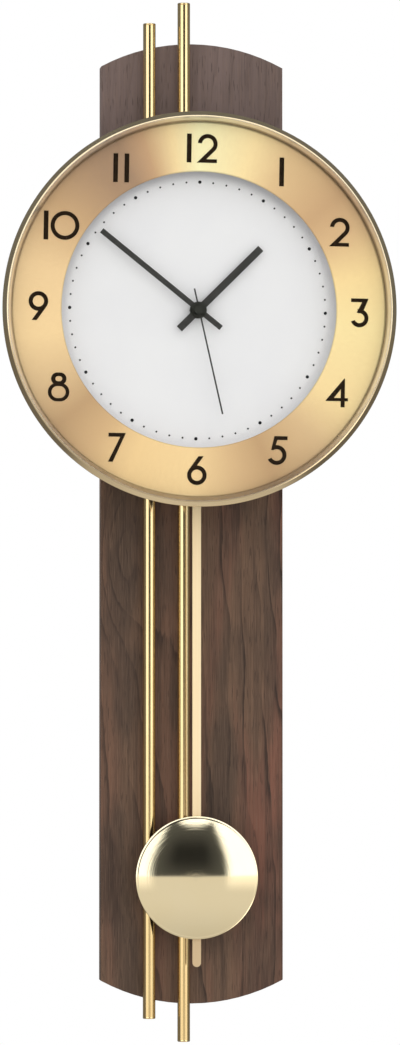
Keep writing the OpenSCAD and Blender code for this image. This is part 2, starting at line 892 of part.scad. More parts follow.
module figure(n) {
  if (n == 1) figure_1();
  if (n == 2) figure_2();
  if (n == 3) figure_3();
  if (n == 4) figure_4();
  if (n == 5) figure_5();
  if (n == 6) figure_6();
  if (n == 7) figure_7();
  if (n == 8) figure_8();
  if (n == 9) figure_9();
  if (n == 10) {
    translate([-9.5, 0]) figure_1();
    translate([2.3, 0]) figure_0();
  }
  if (n == 11) {
    translate([-3.5, 0]) figure_1();
    translate([3.5, 0]) figure_1();
  }
  if (n == 12) {
    translate([-8, 0]) figure_1();
    translate([3.3, 0]) figure_2();
  }
}

module numerals() {
  color([0.16, 0.1, 0.03])
  on_hands() for (n = [1:12])
    around_dial(numeral_circle_r, n * 30)
      slab(d_ring_front, print_t) scale([numeral_h / font_h, numeral_h / font_h]) figure(n);
}

// Movement case

module case_2d(inset) {
  rect(-case_half_w + inset, -case_bottom + inset, case_half_w - inset, case_top - inset);
}

module bay_2d(inset) {
  rect(bay_left + min(inset, 1), -case_top + inset, case_half_w - inset, case_top - inset);
}

// A post for a transfer wheel or rotor, with a shoulder below its seat
module train_post(place, end, seat) {
  foot = d_cover_in - 0.5;
  at(place[0], place[1]) {
    rod(train_post_r, foot, end - foot);
    rod(train_post_r + 0.4, foot, seat - foot);
  }
}

module stator_posts(place, d) {
  for (x = stator_post_x)
    at(place[0] + x, place[1]) rod(stator_post_r, d_cover_in - 0.5, d - d_cover_in + 0.5);
}

module movement_base() {
  color([0.13, 0.13, 0.14])
  on_hands() {
    difference() {
      union() {
        slab(d_base_in, case_wall) case_2d(0);
        rod(bush_r, d_case_front - 0.1, bush_l + 0.1);
      }
      rod(hour_pipe_r + running_fit, d_base_in - cut_past, case_wall + bush_l + 2 * cut_past);
    }
    at(motion_at[0], motion_at[1]) rod(post_r, d_motion - post_cap, d_base_in - d_motion + post_cap + 0.5);
    for (sx = [-1, 1])
      at(sx * pcb_post_x, -button_drop) rod(pcb_post_r, d_pcb + pcb_t, d_base_in - d_pcb - pcb_t + 0.5);
    for (sz = [-1, 1])
      slab(d_cell + cell_r + 0.1, d_base_in - d_cell - cell_r + 0.4)
        translate([cell_x, sz * 15]) square([8, 2], center = true);
  }
}

module movement_cover() {
  color([0.13, 0.13, 0.14])
  on_hands() {
    difference() {
      union() {
        difference() {
          slab(d_case, d_base_in - d_case) case_2d(0);
          slab(d_cover_in, gear_space + cut_past) case_2d(case_wall);
        }
        slab(d_bay, d_base_in - d_bay) bay_2d(0);
      }
      slab(d_bay - cut_past, d_base_in - d_bay + 2 * cut_past) bay_2d(case_wall);
      for (x = button_x)
        at(x, -button_drop) rod(button_r + 0.08, d_case - cut_past, case_wall + 2 * cut_past);
      at(pendulum_x, pivot_up) rod(pivot_r + 0.02, d_case - cut_past, case_wall + 2 * cut_past);
    }
    train_post(second_transfer_at, d_second_pinion + pinion_t + post_cap, d_second_transfer - end_float);
    train_post(minute_transfer_at, d_minute_pinion + pinion_t + post_cap, d_minute_transfer - end_float);
    train_post(second_rotor_at, d_magnet_second + magnet_h + post_cap, d_second_transfer - 0.2 - end_float);
    train_post(minute_rotor_at, d_minute_transfer + wheel_t + 0.1 + post_cap, d_magnet_minute - end_float);
    stator_posts(second_rotor_at, d_stator_second);
    stator_posts(minute_rotor_at, d_stator_minute);
    for (sx = [-1, 1])
      slab(d_cover_in - 0.5, d_antenna - antenna_r - d_cover_in + 0.5)
        translate([antenna_x + sx * (antenna_l / 2 - 2), antenna_z]) square([2, 4], center = true);
  }
}

module rubber_washer() {
  color([0.1, 0.1, 0.1])
  on_hands() slab(d_case_front, rubber_t) washer_2d(bush_r + 5, bush_r + 0.1);
}

module centre_washer() {
  color([0.85, 0.7, 0.4])
  on_hands() slab(d_dial_front, washer_t) washer_2d(washer_r, bush_r + 0.1);
}

module centre_nut() {
  color([0.85, 0.7, 0.4])
  on_hands() slab(d_dial_front + washer_t, nut_t) difference() {
    circle(nut_af / sqrt(3), $fn = 6);
    circle(bush_r + seat_gap);
  }
}

// Gears

// Straight-flanked teeth; turn brings the middle of a tooth to that angle
module gear_2d(m, teeth, turn) {
  pitch = 360 / teeth;
  root_r = m * (teeth / 2 - tooth_root);
  tip_r = m * (teeth / 2 + tooth_tip);
  polygon([
    for (i = [0:teeth - 1])
      for (corner = [
        [root_r, -tooth_half_root], [tip_r, -tooth_half_tip],
        [tip_r, tooth_half_tip], [root_r, tooth_half_root]
      ])
        polar(corner[0], turn + (i + corner[1]) * pitch)
  ]);
}

// A gear whose gap faces the gear that lies in direction dir
module gap_gear_2d(m, teeth, dir) {
  gear_2d(m, teeth, dir + 180 / teeth);
}

module hour_wheel() {
  color([0.95, 0.93, 0.88])
  on_hands() difference() {
    union() {
      slab(d_hour, wheel_t) gear_2d(hour_module, hour_teeth, motion_dir);
      rod(hour_pipe_r, d_hour, d_hour_hand + hand_t - d_hour + 0.1);
    }
    rod(minute_pipe_r + running_fit, d_hour - cut_past, d_hour_hand + hand_t - d_hour + 2 * cut_past);
  }
}

module minute_wheel() {
  color([0.95, 0.93, 0.88])
  on_hands() difference() {
    union() {
      slab(d_minute_wheel, wheel_t) gear_2d(train_module, centre_teeth, minute_train_dir);
      slab(d_cannon, pinion_t) gear_2d(motion_module, cannon_teeth, motion_dir);
      rod(minute_pipe_r, d_minute_wheel, d_minute_hand + hand_t - d_minute_wheel + 0.1);
    }
    rod(second_arbor_r + running_fit, d_minute_wheel - cut_past,
      d_minute_hand + hand_t - d_minute_wheel + 2 * cut_past);
  }
}

module second_wheel() {
  color([0.95, 0.93, 0.88])
  on_hands() {
    slab(d_second_wheel, wheel_t) gear_2d(train_module, centre_teeth, second_train_dir);
    rod(second_arbor_r, d_second_transfer, d_second_hand + second_hand_t - d_second_transfer);
  }
}

module motion_wheel() {
  color([0.95, 0.93, 0.88])
  on_hands() at(motion_at[0], motion_at[1]) difference() {
    union() {
      slab(d_motion, wheel_t) gap_gear_2d(motion_module, motion_teeth, motion_dir + 180);
      slab(d_motion, d_base_in - end_float - d_motion)
        gap_gear_2d(hour_module, motion_pinion_teeth, motion_dir + 180);
    }
    rod(post_r + running_fit, d_motion - cut_past, d_base_in - d_motion + 2 * cut_past);
  }
}

// A wheel and pinion on one post: the pinion drives the centre wheel, the wheel takes the rotor
module transfer_wheel(place, dir, d_wheel, d_pinion) {
  color([0.95, 0.93, 0.88])
  on_hands() at(place[0], place[1]) difference() {
    union() {
      slab(d_wheel, wheel_t) gear_2d(train_module, transfer_teeth, dir);
      rod(train_post_r + 0.45, d_wheel, d_pinion - d_wheel + 0.1);
      slab(d_pinion, pinion_t) gap_gear_2d(train_module, transfer_pinion_teeth, dir + 180);
    }
    rod(train_post_r + running_fit, d_wheel - cut_past, d_pinion + pinion_t - d_wheel + 2 * cut_past);
  }
}

module minute_transfer_wheel() {
  transfer_wheel(minute_transfer_at, minute_train_dir, d_minute_transfer, d_minute_pinion);
}

module second_transfer_wheel() {
  transfer_wheel(second_transfer_at, second_train_dir, d_second_transfer, d_second_pinion);
}

// A pinion that meets its transfer wheel, and a round magnet, on one post
module rotor(place, dir, d_pinion, d_magnet) {
  back = min(d_pinion, d_magnet);
  front = max(d_pinion + wheel_t + 0.2, d_magnet + magnet_h);
  color([0.35, 0.35, 0.38])
  on_hands() at(place[0], place[1]) difference() {
    union() {
      slab(d_pinion, wheel_t + 0.2) gap_gear_2d(train_module, rotor_teeth, dir + 180);
      rod(train_post_r + 0.4, back, front - back);
      rod(rotor_r, d_magnet, magnet_h);
    }
    rod(train_post_r + running_fit, back - cut_past, front - back + 2 * cut_past);
  }
}

module minute_rotor() {
  rotor(minute_rotor_at, minute_train_dir, d_minute_transfer - 0.1, d_magnet_minute);
}

module second_rotor() {
  rotor(second_rotor_at, second_train_dir, d_second_transfer - 0.2, d_magnet_second);
}

// Stepper motors

// The stator's plate, legs and core, with its coil on side +1 (above) or -1 (below)
module stator(place, d, side) {
  leg_top = side * (coil_up + core_half_h);
  at(place[0], place[1]) slab(d, stator_t) difference() {
    union() {
      rect(stator_left, -stator_half_h, stator_right, stator_half_h);
      for (x = [stator_left, stator_left + stator_leg_w + coil_l + 0.2])
        rect(x, min(0, leg_top), x + stator_leg_w, max(0, leg_top));
      translate([stator_left + 1, side * coil_up - core_half_h])
        square([coil_l + stator_leg_w, 2 * core_half_h]);
    }
    circle(stator_hole_r);
  }
}

module motor_stators() {
  color([0.6, 0.6, 0.62])
  on_hands() {
    stator(second_rotor_at, d_stator_second, 1);
    stator(minute_rotor_at, d_stator_minute, -1);
  }
}

module motor_coil(place, d, side) {
  translate([place[0] + stator_left + stator_leg_w + 0.1, -d - stator_t / 2, place[1] + side * coil_up])
    difference() {
      rotate([0, 90, 0]) cylinder(h = coil_l, r = coil_r);
      translate([coil_l / 2, 0, 0])
        cube([coil_l + 2, stator_t + 2 * seat_gap, 2 * (core_half_h + seat_gap)], center = true);
    }
}

module motor_coils() {
  color([0.72, 0.4, 0.2])
  on_hands() {
    motor_coil(second_rotor_at, d_stator_second, 1);
    motor_coil(minute_rotor_at, d_stator_minute, -1);
  }
}

// Electronics

module circuit_board() {
  inset = case_wall + pcb_gap;
  color([0.1, 0.4, 0.2])
  on_hands() slab(d_pcb, pcb_t) rect(-case_half_w + inset, -case_bottom + inset, case_half_w - inset, pcb_top);
}

module receiver_chip() {
  color([0.08, 0.08, 0.08])
  on_hands() slab(d_pcb + pcb_t, chip_t)
    translate([chip_x, -button_drop]) square([chip_size, chip_size], center = true);
}

module quartz_crystal() {
  color([0.8, 0.8, 0.82])
  on_hands() translate([crystal_x, -d_pcb - pcb_t - crystal_r, -button_drop - crystal_l / 2])
    cylinder(h = crystal_l, r = crystal_r);
}

module button_switches() {
  color([0.2, 0.2, 0.2])
  on_hands() for (x = button_x)
    slab(d_pcb - switch_t, switch_t)
      translate([x, -button_drop]) square([switch_size, switch_size], center = true);
}

module antenna_rod() {
  color([0.25, 0.25, 0.27])
  on_hands() translate([antenna_x - antenna_l / 2, -d_antenna, antenna_z]) rotate([0, 90, 0])
    cylinder(h = antenna_l, r = antenna_r);
}

module antenna_winding() {
  winding_l = antenna_l - 8;
  color([0.72, 0.4, 0.2])
  on_hands() translate([antenna_x - winding_l / 2, -d_antenna, antenna_z]) rotate([0, 90, 0])
    difference() {
      cylinder(h = winding_l, r = antenna_winding_r);
      translate([0, 0, -1]) cylinder(h = winding_l + 2, r = antenna_r + seat_gap);
    }
}

module battery_cell() {
  color([0.25, 0.25, 0.27])
  on_hands() translate([cell_x, -d_cell, -cell_l / 2]) {
    cylinder(h = cell_l, r = cell_r);
    translate([0, 0, cell_l - 0.1]) cylinder(h = 1.3, r = 2.7);
  }
}

module battery_contacts() {
  contact_t = 0.4;
  color([0.8, 0.8, 0.82])
  on_hands() for (side = [-1, 1])
    translate([cell_x, -d_cell, side * (bay_end - contact_t / 2)]) {
      cube([9, 9, contact_t], center = true);
      if (side < 0) cylinder(h = bay_end - contact_t / 2 - cell_l / 2 - seat_gap, r = 2.5);
    }
}

module button(x) {
  color([0.85, 0.85, 0.85])
  on_hands() at(x, -button_drop) {
    rod(button_r, d_case - button_out, button_out + case_wall + loose_gap + 0.1);
    rod(button_flange_r, d_cover_in + loose_gap, button_flange_t);
  }
}

module set_button() {
  button(button_x[0]);
}

module receive_button() {
  button(button_x[1]);
}

module drive_coil() {
  color([0.72, 0.4, 0.2])
  on_hands() at(pendulum_x, -magnet_drop) slab(d_cover_in, drive_coil_h) washer_2d(coil_outer_r, coil_inner_r);
}

// Hands

module hand_plate(d, t, w, l, tail, boss_radius, bore_r) {
  slab(d, t) difference() {
    union() {
      rect(-w / 2, -tail, w / 2, l);
      circle(boss_radius);
    }
    circle(bore_r);
  }
}

module hour_hand() {
  color([0.22, 0.22, 0.22])
  on_hands() rotate([0, hour_angle, 0])
    hand_plate(d_hour_hand, hand_t, hour_w, hour_l, hour_tail, hour_boss_r, hour_pipe_r + 0.02);
}

module minute_hand() {
  collar_back = d_hour_hand + hand_t + loose_gap;
  color([0.22, 0.22, 0.22])
  on_hands() rotate([0, minute_angle, 0]) {
    hand_plate(d_minute_hand, hand_t, minute_w, minute_l, minute_tail, minute_boss_r, minute_pipe_r + 0.02);
    slab(collar_back, d_minute_hand - collar_back + 0.1)
      washer_2d(minute_pipe_r + 0.8, minute_pipe_r + 0.02);
  }
}

module second_hand() {
  collar_back = d_minute_hand + hand_t + loose_gap;
  color([0.22, 0.22, 0.22])
  on_hands() rotate([0, second_angle, 0]) {
    hand_plate(d_second_hand, second_hand_t, second_w, second_l, second_tail, second_boss_r,
      second_arbor_r + 0.02);
    slab(collar_back, d_second_hand - collar_back + 0.1)
      washer_2d(second_arbor_r + 0.6, second_arbor_r + 0.02);
    rod(second_boss_r, d_second_hand + second_hand_t, hub_cap_t);
  }
}

// Pendulum

module pendulum_pin() {
  color([0.8, 0.8, 0.82])
  on_hands() at(pendulum_x, pivot_up) {
    rod(pivot_r + 0.9, d_pin_head, pin_head_t);
    rod(pivot_r, d_pin_head, d_cover_in - d_pin_head);
  }
}

module pendulum_hanger() {
  hub_r = hanger_arm_w / 2;
  foot_drop = hook_drop + hook_r + 1.5;
  color([0.9, 0.9, 0.88])
  on_hands() translate([pendulum_x, 0, 0]) difference() {
    union() {
      slab(d_arm, hanger_arm_t) rect(-hub_r, -foot_drop, hub_r, pivot_up);
      at(0, pivot_up) rod(hub_r, d_bar - end_float, d_arm + hanger_arm_t - d_bar + end_float);
      at(0, -hook_drop) {
        rod(hook_r, d_bar - loose_gap - 0.8, d_arm - d_bar + loose_gap + 0.9);
        rod(hook_r + 0.7, d_bar - loose_gap - 0.8, 0.8);
      }
    }
    at(0, pivot_up) rod(pivot_r + running_fit, d_bar - 2, d_case - d_bar + 2);
    at(0, -magnet_drop) rod(magnet_r + seat_gap, d_arm - cut_past, hanger_arm_t + 2 * cut_past);
  }
}

module drive_magnet() {
  color([0.6, 0.6, 0.62])
  on_hands() at(pendulum_x, -magnet_drop) rod(magnet_r, d_arm, hanger_arm_t);
}

module pendulum_bar() {
  end_r = bar_w / 2;
  color([0.9, 0.8, 0.6])
  on_hands() at(pendulum_x, 0) slab(d_bar, bar_t) difference() {
    union() {
      rect(-end_r, -bar_end_drop + end_r, end_r, -hook_drop);
      translate([0, -bar_end_drop + end_r]) circle(end_r);
      translate([0, -hook_drop]) circle(end_r);
    }
    translate([0, -hook_drop]) circle(hook_r + 0.1);
  }
}

// Bob

module bob_cap(radius, d_from, r_max) {
  intersection() {
    translate([0, d_bob_apex - bob_sphere_r]) circle(radius, $fn = 360);
    rect(0, d_from, r_max, d_bob_apex + 1);
  }
}

module bob_shell() {
  color([0.87, 0.8, 0.55])
  on_hands() at(pendulum_x, -bob_drop) spun() difference() {
    union() {
      rect(0, d_bob, bob_r, d_bob_rim);
      bob_cap(bob_sphere_r, d_bob_rim - 0.1, bob_cap_r);
    }
    rect(-1, d_bob - 1, bob_r - bob_wall, d_bob_rim - bob_wall);
    bob_cap(bob_sphere_r - bob_wall, d_bob_rim - bob_wall - 0.1, bob_cap_r);
  }
}

module bob_back() {
  color([0.3, 0.3, 0.32])
  on_hands() at(pendulum_x, -bob_drop) slab(d_bob, bob_back_t) circle(bob_r - bob_wall - seat_gap);
}

module bob_clip() {
  strap_half_w = 8;
  strap_half_h = 6;
  strap_t = 1;
  d_strap = d_bar - 0.1 - strap_t;
  inner = bar_w / 2 + 0.2;
  color([0.8, 0.8, 0.82])
  on_hands() at(pendulum_x, -bob_drop) {
    slab(d_strap, strap_t) rect(-strap_half_w, -strap_half_h, strap_half_w, strap_half_h);
    for (side = [-1, 1])
      slab(d_strap, d_bob - d_strap)
        rect(min(side * inner, side * strap_half_w), -strap_half_h,
          max(side * inner, side * strap_half_w), strap_half_h);
  }
}

back_panel();
hanger_plate();
hanger_screws();
wall_bumpers();
left_tube();
right_tube();
tube_caps();
tube_saddles();
tube_screws();
head_spacers();
head_screws();
rear_shell();
bezel();
bezel_screws();
glass();
glass_gasket();
numeral_ring();
numerals();
dial_plate();
hour_dots();
minute_dots();
movement_base();
movement_cover();
rubber_washer();
centre_washer();
centre_nut();
hour_hand();
hour_wheel();
minute_hand();
minute_wheel();
second_hand();
second_wheel();
motion_wheel();
minute_transfer_wheel();
minute_rotor();
second_transfer_wheel();
second_rotor();
motor_stators();
motor_coils();
circuit_board();
quartz_crystal();
receiver_chip();
button_switches();
antenna_rod();
antenna_winding();
battery_cell();
battery_contacts();
set_button();
receive_button();
drive_coil();
drive_magnet();
pendulum_pin();
pendulum_hanger();
pendulum_bar();
bob_shell();
bob_back();
bob_clip();
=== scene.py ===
# %% [markdown]
# # A pendulum wall clock, dressed in Blender
# The clock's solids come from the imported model, each piece at its own place, in metres: x to the
# right, z up, and the wall at y = 0, so that the clock looks towards -y. This notebook gives them
# their finishes, rounds off the polished metal, and sets up a studio and a camera.

# %% Load the solids
import json
import math
import bmesh
import bpy
import numpy as np
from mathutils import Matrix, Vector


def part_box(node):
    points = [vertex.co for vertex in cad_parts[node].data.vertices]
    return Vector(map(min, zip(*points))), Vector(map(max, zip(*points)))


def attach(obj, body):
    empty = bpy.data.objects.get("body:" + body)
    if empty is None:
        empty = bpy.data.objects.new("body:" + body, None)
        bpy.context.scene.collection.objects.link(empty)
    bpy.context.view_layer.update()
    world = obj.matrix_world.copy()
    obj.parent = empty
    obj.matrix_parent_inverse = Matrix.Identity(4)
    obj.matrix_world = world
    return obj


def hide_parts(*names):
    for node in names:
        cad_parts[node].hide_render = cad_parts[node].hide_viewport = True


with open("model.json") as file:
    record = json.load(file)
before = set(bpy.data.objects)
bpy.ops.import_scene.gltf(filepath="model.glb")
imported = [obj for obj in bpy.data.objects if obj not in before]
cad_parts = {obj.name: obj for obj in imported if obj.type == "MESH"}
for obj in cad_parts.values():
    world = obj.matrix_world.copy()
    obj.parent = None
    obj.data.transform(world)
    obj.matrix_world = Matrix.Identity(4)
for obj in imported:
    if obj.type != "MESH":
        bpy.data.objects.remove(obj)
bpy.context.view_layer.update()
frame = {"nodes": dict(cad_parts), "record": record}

NODES = frame["nodes"]
HAND_AXIS_Z = -0.130

# %% [markdown]
# ## Writing shader maths as expressions
# A shader is a graph of small nodes. Wiring each sum and product by hand hides the idea, so one
# class wraps a socket: `+`, `-`, `*`, `/` and `**` on it add a Math node. Any other node comes from
# one method, which first makes the node's settings and then fills or links its sockets.

# %% A socket that takes part in sums
class Term:
    """One output socket of a material. Arithmetic on it adds Math nodes to the same material."""

    def __init__(self, finish, socket):
        self.finish = finish
        self.socket = socket

    def math(self, operation, first, second=0.0):
        return self.finish.node("ShaderNodeMath", {"operation": operation}, {0: first, 1: second})

    def __add__(self, other):
        return self.math("ADD", self, other)

    def __radd__(self, other):
        return self.math("ADD", other, self)

    def __sub__(self, other):
        return self.math("SUBTRACT", self, other)

    def __rsub__(self, other):
        return self.math("SUBTRACT", other, self)

    def __mul__(self, other):
        return self.math("MULTIPLY", self, other)

    def __rmul__(self, other):
        return self.math("MULTIPLY", other, self)

    def __truediv__(self, other):
        return self.math("DIVIDE", self, other)

    def __rtruediv__(self, other):
        return self.math("DIVIDE", other, self)

    def __pow__(self, other):
        return self.math("POWER", self, other)

    def fraction(self):
        return self.math("FRACT", self)

    def bigger(self, other):
        return self.math("MAXIMUM", self, other)

    def atan2(self, other):
        """The angle whose sine and cosine are to one another as this is to the other."""
        return self.math("ARCTAN2", self, other)

    def step(self, low, high):
        """0 below low, 1 above high, and a smooth slope between them."""
        settings = {"interpolation_type": "SMOOTHSTEP"}
        return self.finish.node("ShaderNodeMapRange", settings, {0: self, 1: low, 2: high})


# %% [markdown]
# ### Colours
# A picture keeps its colours as the eye reads them, while a shader reckons with light. Here every
# colour is written as in a picture, from 0 to 255, and one function turns it into light.

# %% From a picture's colours to light
def colour(red, green, blue):
    """A colour as the eye reads it, 0 to 255, turned into the linear light that shaders use."""
    linear = []
    for level in (red, green, blue):
        share = level / 255
        linear.append(share / 12.92 if share <= 0.04045 else ((share + 0.055) / 1.055) ** 2.4)
    return (*linear, 1.0)


def scaled(tone, share, lift=0.0):
    """A colour with its light multiplied by a share, and a little light added."""
    return tuple(level * share + lift for level in tone[:3]) + (1.0,)


print("half grey in a picture is", round(colour(128, 128, 128)[0], 3), "of full light")

# %% [markdown]
# ### A material under construction
# A finish is a Principled node, fed by nodes that read the point's place on the object. Texture
# pictures could do it too, but they blur close up and need unwrapping, while a formula fits any
# solid. One class keeps the node tree, with a method for each thing that the recipes need.

# %% The nodes of one finish
class Finish:
    """A material under construction: a Principled node, and the nodes that feed it."""

    def __init__(self, name):
        self.material = bpy.data.materials.new(name)
        self.material.use_nodes = True
        self.tree = self.material.node_tree
        self.tree.nodes.clear()
        self.position = None

    def node(self, kind, settings=None, values=None, out=0):
        """Adds a node, makes its settings, links or fills its sockets, and gives one output."""
        made = self.tree.nodes.new(kind)
        for key, value in (settings or {}).items():
            if key == "stops":
                self.fill_ramp(made.color_ramp, value)
            else:
                setattr(made, key, value)
        for key, value in (values or {}).items():
            if isinstance(value, Term):
                self.tree.links.new(value.socket, made.inputs[key])
            else:
                made.inputs[key].default_value = value
        return Term(self, made.outputs[out]) if len(made.outputs) else None

    @staticmethod
    def fill_ramp(ramp, stops):
        """Gives a colour ramp the stops (place, colour)."""
        while len(ramp.elements) > 1:
            ramp.elements.remove(ramp.elements[-1])
        for count, (place, tint) in enumerate(stops):
            element = ramp.elements[0] if count == 0 else ramp.elements.new(place)
            element.position = place
            element.color = tint

    def place(self):
        """The point's place on the object, in metres."""
        if self.position is None:
            self.position = self.node("ShaderNodeTexCoord", out=3)
        return self.position

    def axes(self):
        """The same place as three separate numbers."""
        split = self.node("ShaderNodeSeparateXYZ", None, {0: self.place()})
        return [Term(self, output) for output in split.socket.node.outputs]

    def around(self, centre_z):
        """For what is round in the front view, about x = 0 and a height centre_z: the sideways
        place, the height above that centre, and the distance from it."""
        x, _, z = self.axes()
        above_centre = z - centre_z
        return x, above_centre, (x * x + above_centre * above_centre) ** 0.5

    def stretched(self, along_x, along_y, along_z):
        """The place with each axis multiplied, so that a pattern gets long or short on it."""
        values = {0: self.place(), 1: (along_x, along_y, along_z)}
        return self.node("ShaderNodeVectorMath", {"operation": "MULTIPLY"}, values)

    def noise(self, vector, scale=1.0, detail=2.0, roughness=0.5):
        """Cloudy noise from 0 to 1 at a place, with detail octaves."""
        values = {"Vector": vector, "Scale": scale, "Detail": detail, "Roughness": roughness}
        return self.node("ShaderNodeTexNoise", None, values)

    def mix(self, factor, first, second, blend="MIX"):
        """The first colour where the factor is 0, and the second, or its blend, where it is 1."""
        settings = {"data_type": "RGBA", "blend_type": blend}
        return self.node("ShaderNodeMix", settings, {0: factor, 6: first, 7: second}, out=2)

    def bump(self, height, strength, distance):
        """A normal that leans as a relief would, whose full height is the distance in metres."""
        values = {"Strength": strength, "Distance": distance, "Height": height}
        return self.node("ShaderNodeBump", None, values)

    def shade(self, base, roughness, metallic=0.0, **more):
        """Ends the material in a Principled node. A plain number stays on its own socket."""
        values = {"Base Color": base, "Roughness": roughness, "Metallic": metallic}
        values.update({key.replace("_", " "): value for key, value in more.items()})
        surface = self.node("ShaderNodeBsdfPrincipled", None, values)
        return self.show(surface)

    def show(self, surface):
        """Sends a surface to the material's output."""
        self.node("ShaderNodeOutputMaterial", None, {"Surface": surface})
        return self.material


# %% [markdown]
# ## The camera
# The photograph was taken from about three metres, a little to the left of the clock's middle and
# a little below it. A long lens keeps the upright lines straight. The picture is taller than it is
# wide, so the sensor's 36 mm lie along its height.

# %% Set the camera up
CAMERA_AT = (-0.31240, -3.14168, -0.34556)
CAMERA_AZIMUTH = math.radians(-5.8)
CAMERA_ELEVATION = math.radians(-1.5)
LENS_MM = 169.3

camera_data = bpy.data.cameras.new("studio_camera")
camera_data.sensor_fit = "VERTICAL"
camera_data.sensor_height = 36
camera_data.lens = LENS_MM
camera = bpy.data.objects.new("studio_camera", camera_data)
bpy.context.scene.collection.objects.link(camera)
camera.location = CAMERA_AT
camera.rotation_euler = (math.pi / 2 - CAMERA_ELEVATION, 0, CAMERA_AZIMUTH)
bpy.context.scene.camera = camera
print("camera at", [round(v * 1000) for v in CAMERA_AT], "mm")

# %% [markdown]
# ## The studio
# Polished metal shows its surroundings, so the studio matters as much as the finish. The clock hung
# between two tall white screens, with a white card above and a pale table below. The gap between
# the screens was dark, and beyond them the room was dim. A sky made of a few soft-edged fields
# gives that with no lamp to place. Only reflections read those fields. Matt surfaces get a plain
# even light, a little stronger from the upper right, and camera rays see white.

# %% Helpers for a sky of soft-edged fields
world = bpy.data.worlds.new("studio_sky")
bpy.context.scene.world = world
world.use_nodes = True


class Sky(Finish):
    """A world's node tree, filled with the same helpers as a material's."""

    def __init__(self, made):
        self.tree = made.node_tree
        self.tree.nodes.clear()
        self.position = None

    def show(self, surface):
        self.node("ShaderNodeOutputWorld", None, {"Surface": surface})


def rise(angle, place, soft):
    """0 below an angle given in degrees and 1 above it, with a soft edge."""
    return angle.step(math.radians(place - soft), math.radians(place + soft))


def between(angle, low, high, soft):
    """1 between two angles and 0 outside."""
    return rise(angle, low, soft) * (1 - rise(angle, high, soft))


sky = Sky(world)
direction = sky.node("ShaderNodeTexCoord", out=0)
parts = sky.node("ShaderNodeSeparateXYZ", None, {0: direction}).socket.node.outputs
sky_x, sky_y, sky_z = [Term(sky, output) for output in parts]
azimuth = sky_x.atan2(sky_y * -1.0)
height = sky_z.math("ARCSINE", sky_z)
print(len(world.node_tree.nodes), "nodes give azimuth, 0 towards the viewer, and height")

# %% [markdown]
# ### What the metal mirrors
# Every field has a strength of light and its edges as angles in degrees. The bob is a mirror ball's
# cap, so it shows them as a map: a white field on either side, the dark gap in its upper half and
# the table in its lower half. The tubes show the screens as two bright lines each.

# %% Screens, gap, card, table and room
ROOM, TABLE, SCREEN, CARD, DARK, GAP_EDGE = 0.18, 0.74, 1.6, 1.7, 0.018, 0.085
HORIZON = -1.7
SCREEN_LEFT, SCREEN_RIGHT, SCREEN_TOP = -64, 62, 66
GAP_LEFT, GAP_RIGHT, GAP_TOP = -18.6, 21.6, 36
GAP_AXIS = math.radians(5)
CARD_AZIMUTH, CARD_HEIGHT = math.radians(6), math.radians(27.6)
CARD_HALF_W, CARD_HALF_H = math.radians(10.5), math.radians(3.2)
BEYOND_LEFT, BEYOND_RIGHT, BEYOND_FOOT = SCREEN_LEFT - 4, SCREEN_RIGHT + 4, -53

above = rise(height, HORIZON, 0.6)
screens = between(azimuth, SCREEN_LEFT, SCREEN_RIGHT, 3)
# The gap between the screens gets narrower upwards, with the square of the height
lean = (azimuth - GAP_AXIS) * (1 + height * height * 3.0) + GAP_AXIS
gap = between(lean, GAP_LEFT, GAP_RIGHT, 1.2) * (1 - rise(height, GAP_TOP, 3))
depth_of_gap = between(lean, -11, 15, 7) * between(height, 1, 18, 7)
# The card is an ellipse, given by the squared distance from its middle in half axes
card_x = (azimuth - CARD_AZIMUTH) / CARD_HALF_W
card_z = (height - CARD_HEIGHT) / CARD_HALF_H
card = 1 - (card_x * card_x + card_z * card_z).step(0.6, 1.4)
wall_light = ROOM + screens * (1 - rise(height, SCREEN_TOP, 2)) * (SCREEN - ROOM)
in_gap = GAP_EDGE + depth_of_gap * (DARK - GAP_EDGE) + card * (CARD - GAP_EDGE)
wall_light = wall_light + gap * (in_gap - wall_light)
# Just below the horizon the table still mirrors the screens, and further down it gets darker
table_gleam = screens * (1 - gap) * rise(height, -6.0, 4.5) * 0.5
table_light = TABLE - between(height, -64, -26, 14) * 0.16 + table_gleam
# Beyond the screens the room is dim, and the table starts much further down
beyond = (1 - between(azimuth, BEYOND_LEFT, BEYOND_RIGHT, 4)) * rise(height, BEYOND_FOOT, 7)
table_light = table_light + beyond * (ROOM - table_light)
# A bright patch low on the right draws the thin white line along the ring's lower right
patch = between(azimuth, 40, 62, 5) * between(height, -48, -17, 5) * 1.5
table_light = table_light + patch
shown = table_light + above * (wall_light - table_light)
tint = sky.mix(above, (1.0, 0.92, 0.82, 1.0), (1.0, 1.0, 1.0, 1.0))
print("screens", SCREEN, "card", CARD, "table", TABLE, "room", ROOM)

# %% [markdown]
# ### Who sees what
# The kind of ray decides. Reflections see the fields, the camera sees plain white, and everything
# else, which lights matt surfaces, sees the even light.

# %% Join the three skies
WHITE = (1, 1, 1, 1)
even = 1.13 + sky_x * 0.10 + sky_z * 0.12 - sky_y * 0.05
reflected = sky.node("ShaderNodeBackground", None, {"Color": tint, "Strength": shown})
plain = sky.node("ShaderNodeBackground", None, {"Color": WHITE, "Strength": even})
white = sky.node("ShaderNodeBackground", None, {"Color": WHITE, "Strength": 1.0})
rays = sky.node("ShaderNodeLightPath").socket.node.outputs
lit = sky.node("ShaderNodeMixShader", None,
               {0: Term(sky, rays["Is Glossy Ray"]), 1: plain, 2: reflected})
sky.show(sky.node("ShaderNodeMixShader", None,
                  {0: Term(sky, rays["Is Camera Ray"]), 1: lit, 2: white}))
bpy.context.scene.view_settings.view_transform = "Standard"
print(len(world.node_tree.nodes), "nodes in the sky")

